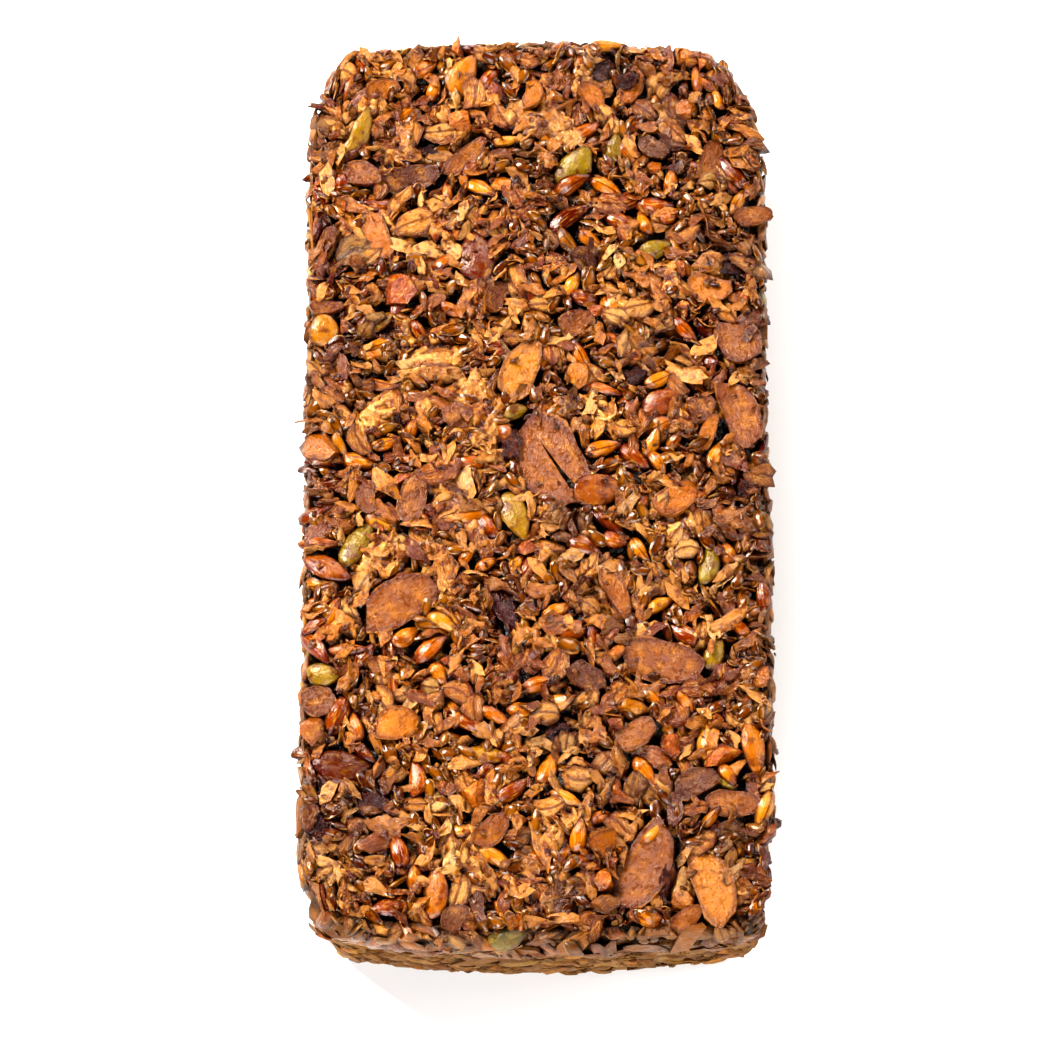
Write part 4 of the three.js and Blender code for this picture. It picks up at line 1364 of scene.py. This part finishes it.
CRUST_CELLS = (218, 426, 1)
CRUST_INSET = 1.2
CRUST_FOOT, FOOT_INSET = -8.0, 5.0  # its underside, inside the body
SHRED_WAYS = 5  # directions that the torn shreds lie in
SHRED_HIGH = 1.3
CRUST_SUNK, CRUST_CLEAR = 0.3, 2.6  # how far it lies under the pieces, and under those that stay uncovered


def softened(heights, reach):
    """A map with all that is finer than the reach smoothed away."""
    steps = np.arange(-int(2.5 * reach / PITCH), int(2.5 * reach / PITCH) + 1)
    weights = np.exp(-0.5 * (steps * PITCH / reach) ** 2)
    weights /= weights.sum()
    for axis in (0, 1):
        def along(row):
            return np.convolve(np.pad(row, len(steps) // 2, "edge"), weights, "valid")
        heights = np.apply_along_axis(along, axis, heights)
    return heights


filled = softened(np.maximum(top.ground, -6), 1.2)
mean_level = softened(np.maximum(top.ground, -5), 3.0)
uncovered = softened(top.kept.astype(float), 0.8)


def crust_relief(u, v):
    """The crust's torn shreds, in bundles that lie every way, and its grit, from about -1 to 1."""
    shreds = np.full(np.shape(u), -1.0)
    for number in range(SHRED_WAYS):
        turn = 0.4 + number * math.pi / SHRED_WAYS
        along = u * math.cos(turn) + v * math.sin(turn)
        across = v * math.cos(turn) - u * math.sin(turn) + noise(u, v, 0, 4, 30 + number)
        bundle = smooth(-0.15, 0.35, noise(u, v, 0, 4.5, 40 + number))
        ridges = 1 - 2.6 * np.abs(noise(along / 3, across, 0, 1.7, 50 + number))
        shreds = np.maximum(shreds, ridges - 1.8 * (1 - bundle))
    return 0.7 * shreds + 0.3 * noise(u, v, 0, 1.1, 23) - 0.1


def crust_height(u, v):
    level = top.read(filled, u, v)
    deep = np.minimum(top_base(u, v), level - 0.4)
    high = level - CRUST_SUNK + SHRED_HIGH * crust_relief(u, v) - CRUST_CLEAR * top.read(uncovered, u, v)
    return deep + (high - deep) * softness(u, v)


def crust_mesh():
    mesh = block_mesh("crust", *CRUST_CELLS)
    block = read_points(mesh)
    is_foot = block[:, 2] < -0.5
    inset = np.where(is_foot, FOOT_INSET, CRUST_INSET)
    u = block[:, 0] * (WIDTH - 2 * inset)
    v = block[:, 1] * (LENGTH - 2 * inset)
    height = np.where(is_foot, CRUST_FOOT, np.maximum(crust_height(u, v), CRUST_FOOT + 0.5))
    place = on_top(np.stack([u, v, height], 1))
    place[:, 0] = off_the_break(*place.T, inset=0.8)
    move_points(mesh, place * MM)
    mesh.shade_smooth()
    set_values(mesh, "burn", burn_at(*place.T))
    # Painted shade: darker where the crust lies below the mean level of the top around it.
    set_values(mesh, "sunk", smooth(0.7, 2.6, top.read(mean_level, u, v) - height))
    set_values(mesh, "pressed", np.zeros(len(place)))
    # Painted light and shade: paler on the raised shreds and darker between them. The golden patches added
    # here are its own tone.
    fold = 0.9 * smooth(-0.7, 0.7, crust_relief(u, v)) + 0.35 * golden_at(u, v) - 0.12
    set_values(mesh, "fold", np.clip(fold, 0, 1))
    return mesh


as_part("crumb_crust", crust_mesh(), crumb_material)

# Painted shade: what lies lower than its surroundings is painted darker.
for mesh, laid_flat in made_meshes:
    painted_shade_amounts = []
    for skin, flat in laid_flat:
        if skin is top:
            painted_shade_amounts.append(smooth(0.3, 3.0, top.read(mean_level, flat[:, 0], flat[:, 1]) - flat[:, 2]))
        else:
            painted_shade_amounts.append(0.85 * smooth(-0.5, -1.7, flat[:, 2] - skin.press(flat[:, 0], flat[:, 1])))
    set_values(mesh, "sunk", np.concatenate(painted_shade_amounts))

# ----------
# The picture: a pale table, soft lamps round the loaf with the brightest high
# on the left, and a camera over the near end that looks almost straight down.

bm = bmesh.new()
bmesh.ops.create_grid(bm, x_segments=1, y_segments=1, size=3)
floor_mesh = bpy.data.meshes.new("table")
bm.to_mesh(floor_mesh)
bm.free()
table = bpy.data.objects.new("table", floor_mesh)
table.location.z = -0.0001
bpy.context.collection.objects.link(table)
pale = bpy.data.materials.new("pale table")
pale.use_nodes = True
pale.node_tree.nodes["Principled BSDF"].inputs["Base Color"].default_value = (0.76, 0.77, 0.8, 1)
pale.node_tree.nodes["Principled BSDF"].inputs["Roughness"].default_value = 0.8
table.data.materials.append(pale)

room = bpy.data.worlds.new("dim room")
room.use_nodes = True
room.node_tree.nodes["Background"].inputs["Color"].default_value = (1.0, 0.92, 0.82, 1)
room.node_tree.nodes["Background"].inputs["Strength"].default_value = 0.06
bpy.context.scene.world = room

# Lamps: name, place, width, power in watts, colour
LAMPS = [
    ("left window", (-0.65, 0.5, 0.8), 0.34, 26, (1.0, 0.98, 0.93)),
    ("right fill", (0.9, 0.1, 0.7), 0.45, 6, (1.0, 0.97, 0.92)),
    ("near fill", (-0.15, -0.95, 0.75), 0.45, 15, (1.0, 0.99, 0.97)),
    ("far fill", (0.3, 1.0, 0.7), 0.45, 10, (1.0, 0.97, 0.92)),
]
for name, place, width, power, colour in LAMPS:
    light = bpy.data.lights.new(name, "AREA")
    light.size = width
    light.energy = power
    light.color = colour
    lamp = bpy.data.objects.new(name, light)
    lamp.location = place
    lamp.rotation_euler = (Vector((0, 0, 0.03)) - lamp.location).to_track_quat("-Z", "Y").to_euler()
    bpy.context.collection.objects.link(lamp)

CAMERA_TILT = math.radians(18.28)  # from straight down
CAMERA_AWAY = 1.099
AIM = Vector((-0.00424, -0.0135, 0.058))
camera_lens = bpy.data.cameras.new("camera")
camera_lens.lens = 151.7
camera_lens.clip_start = 0.05
camera = bpy.data.objects.new("camera", camera_lens)
camera.location = AIM + CAMERA_AWAY * Vector((0, -math.sin(CAMERA_TILT), math.cos(CAMERA_TILT)))
camera.rotation_euler = (CAMERA_TILT, 0, 0)
bpy.context.collection.objects.link(camera)
bpy.context.scene.camera = camera
bpy.context.scene.view_settings.view_transform = "Standard"
bpy.context.scene.view_settings.look = "High Contrast"
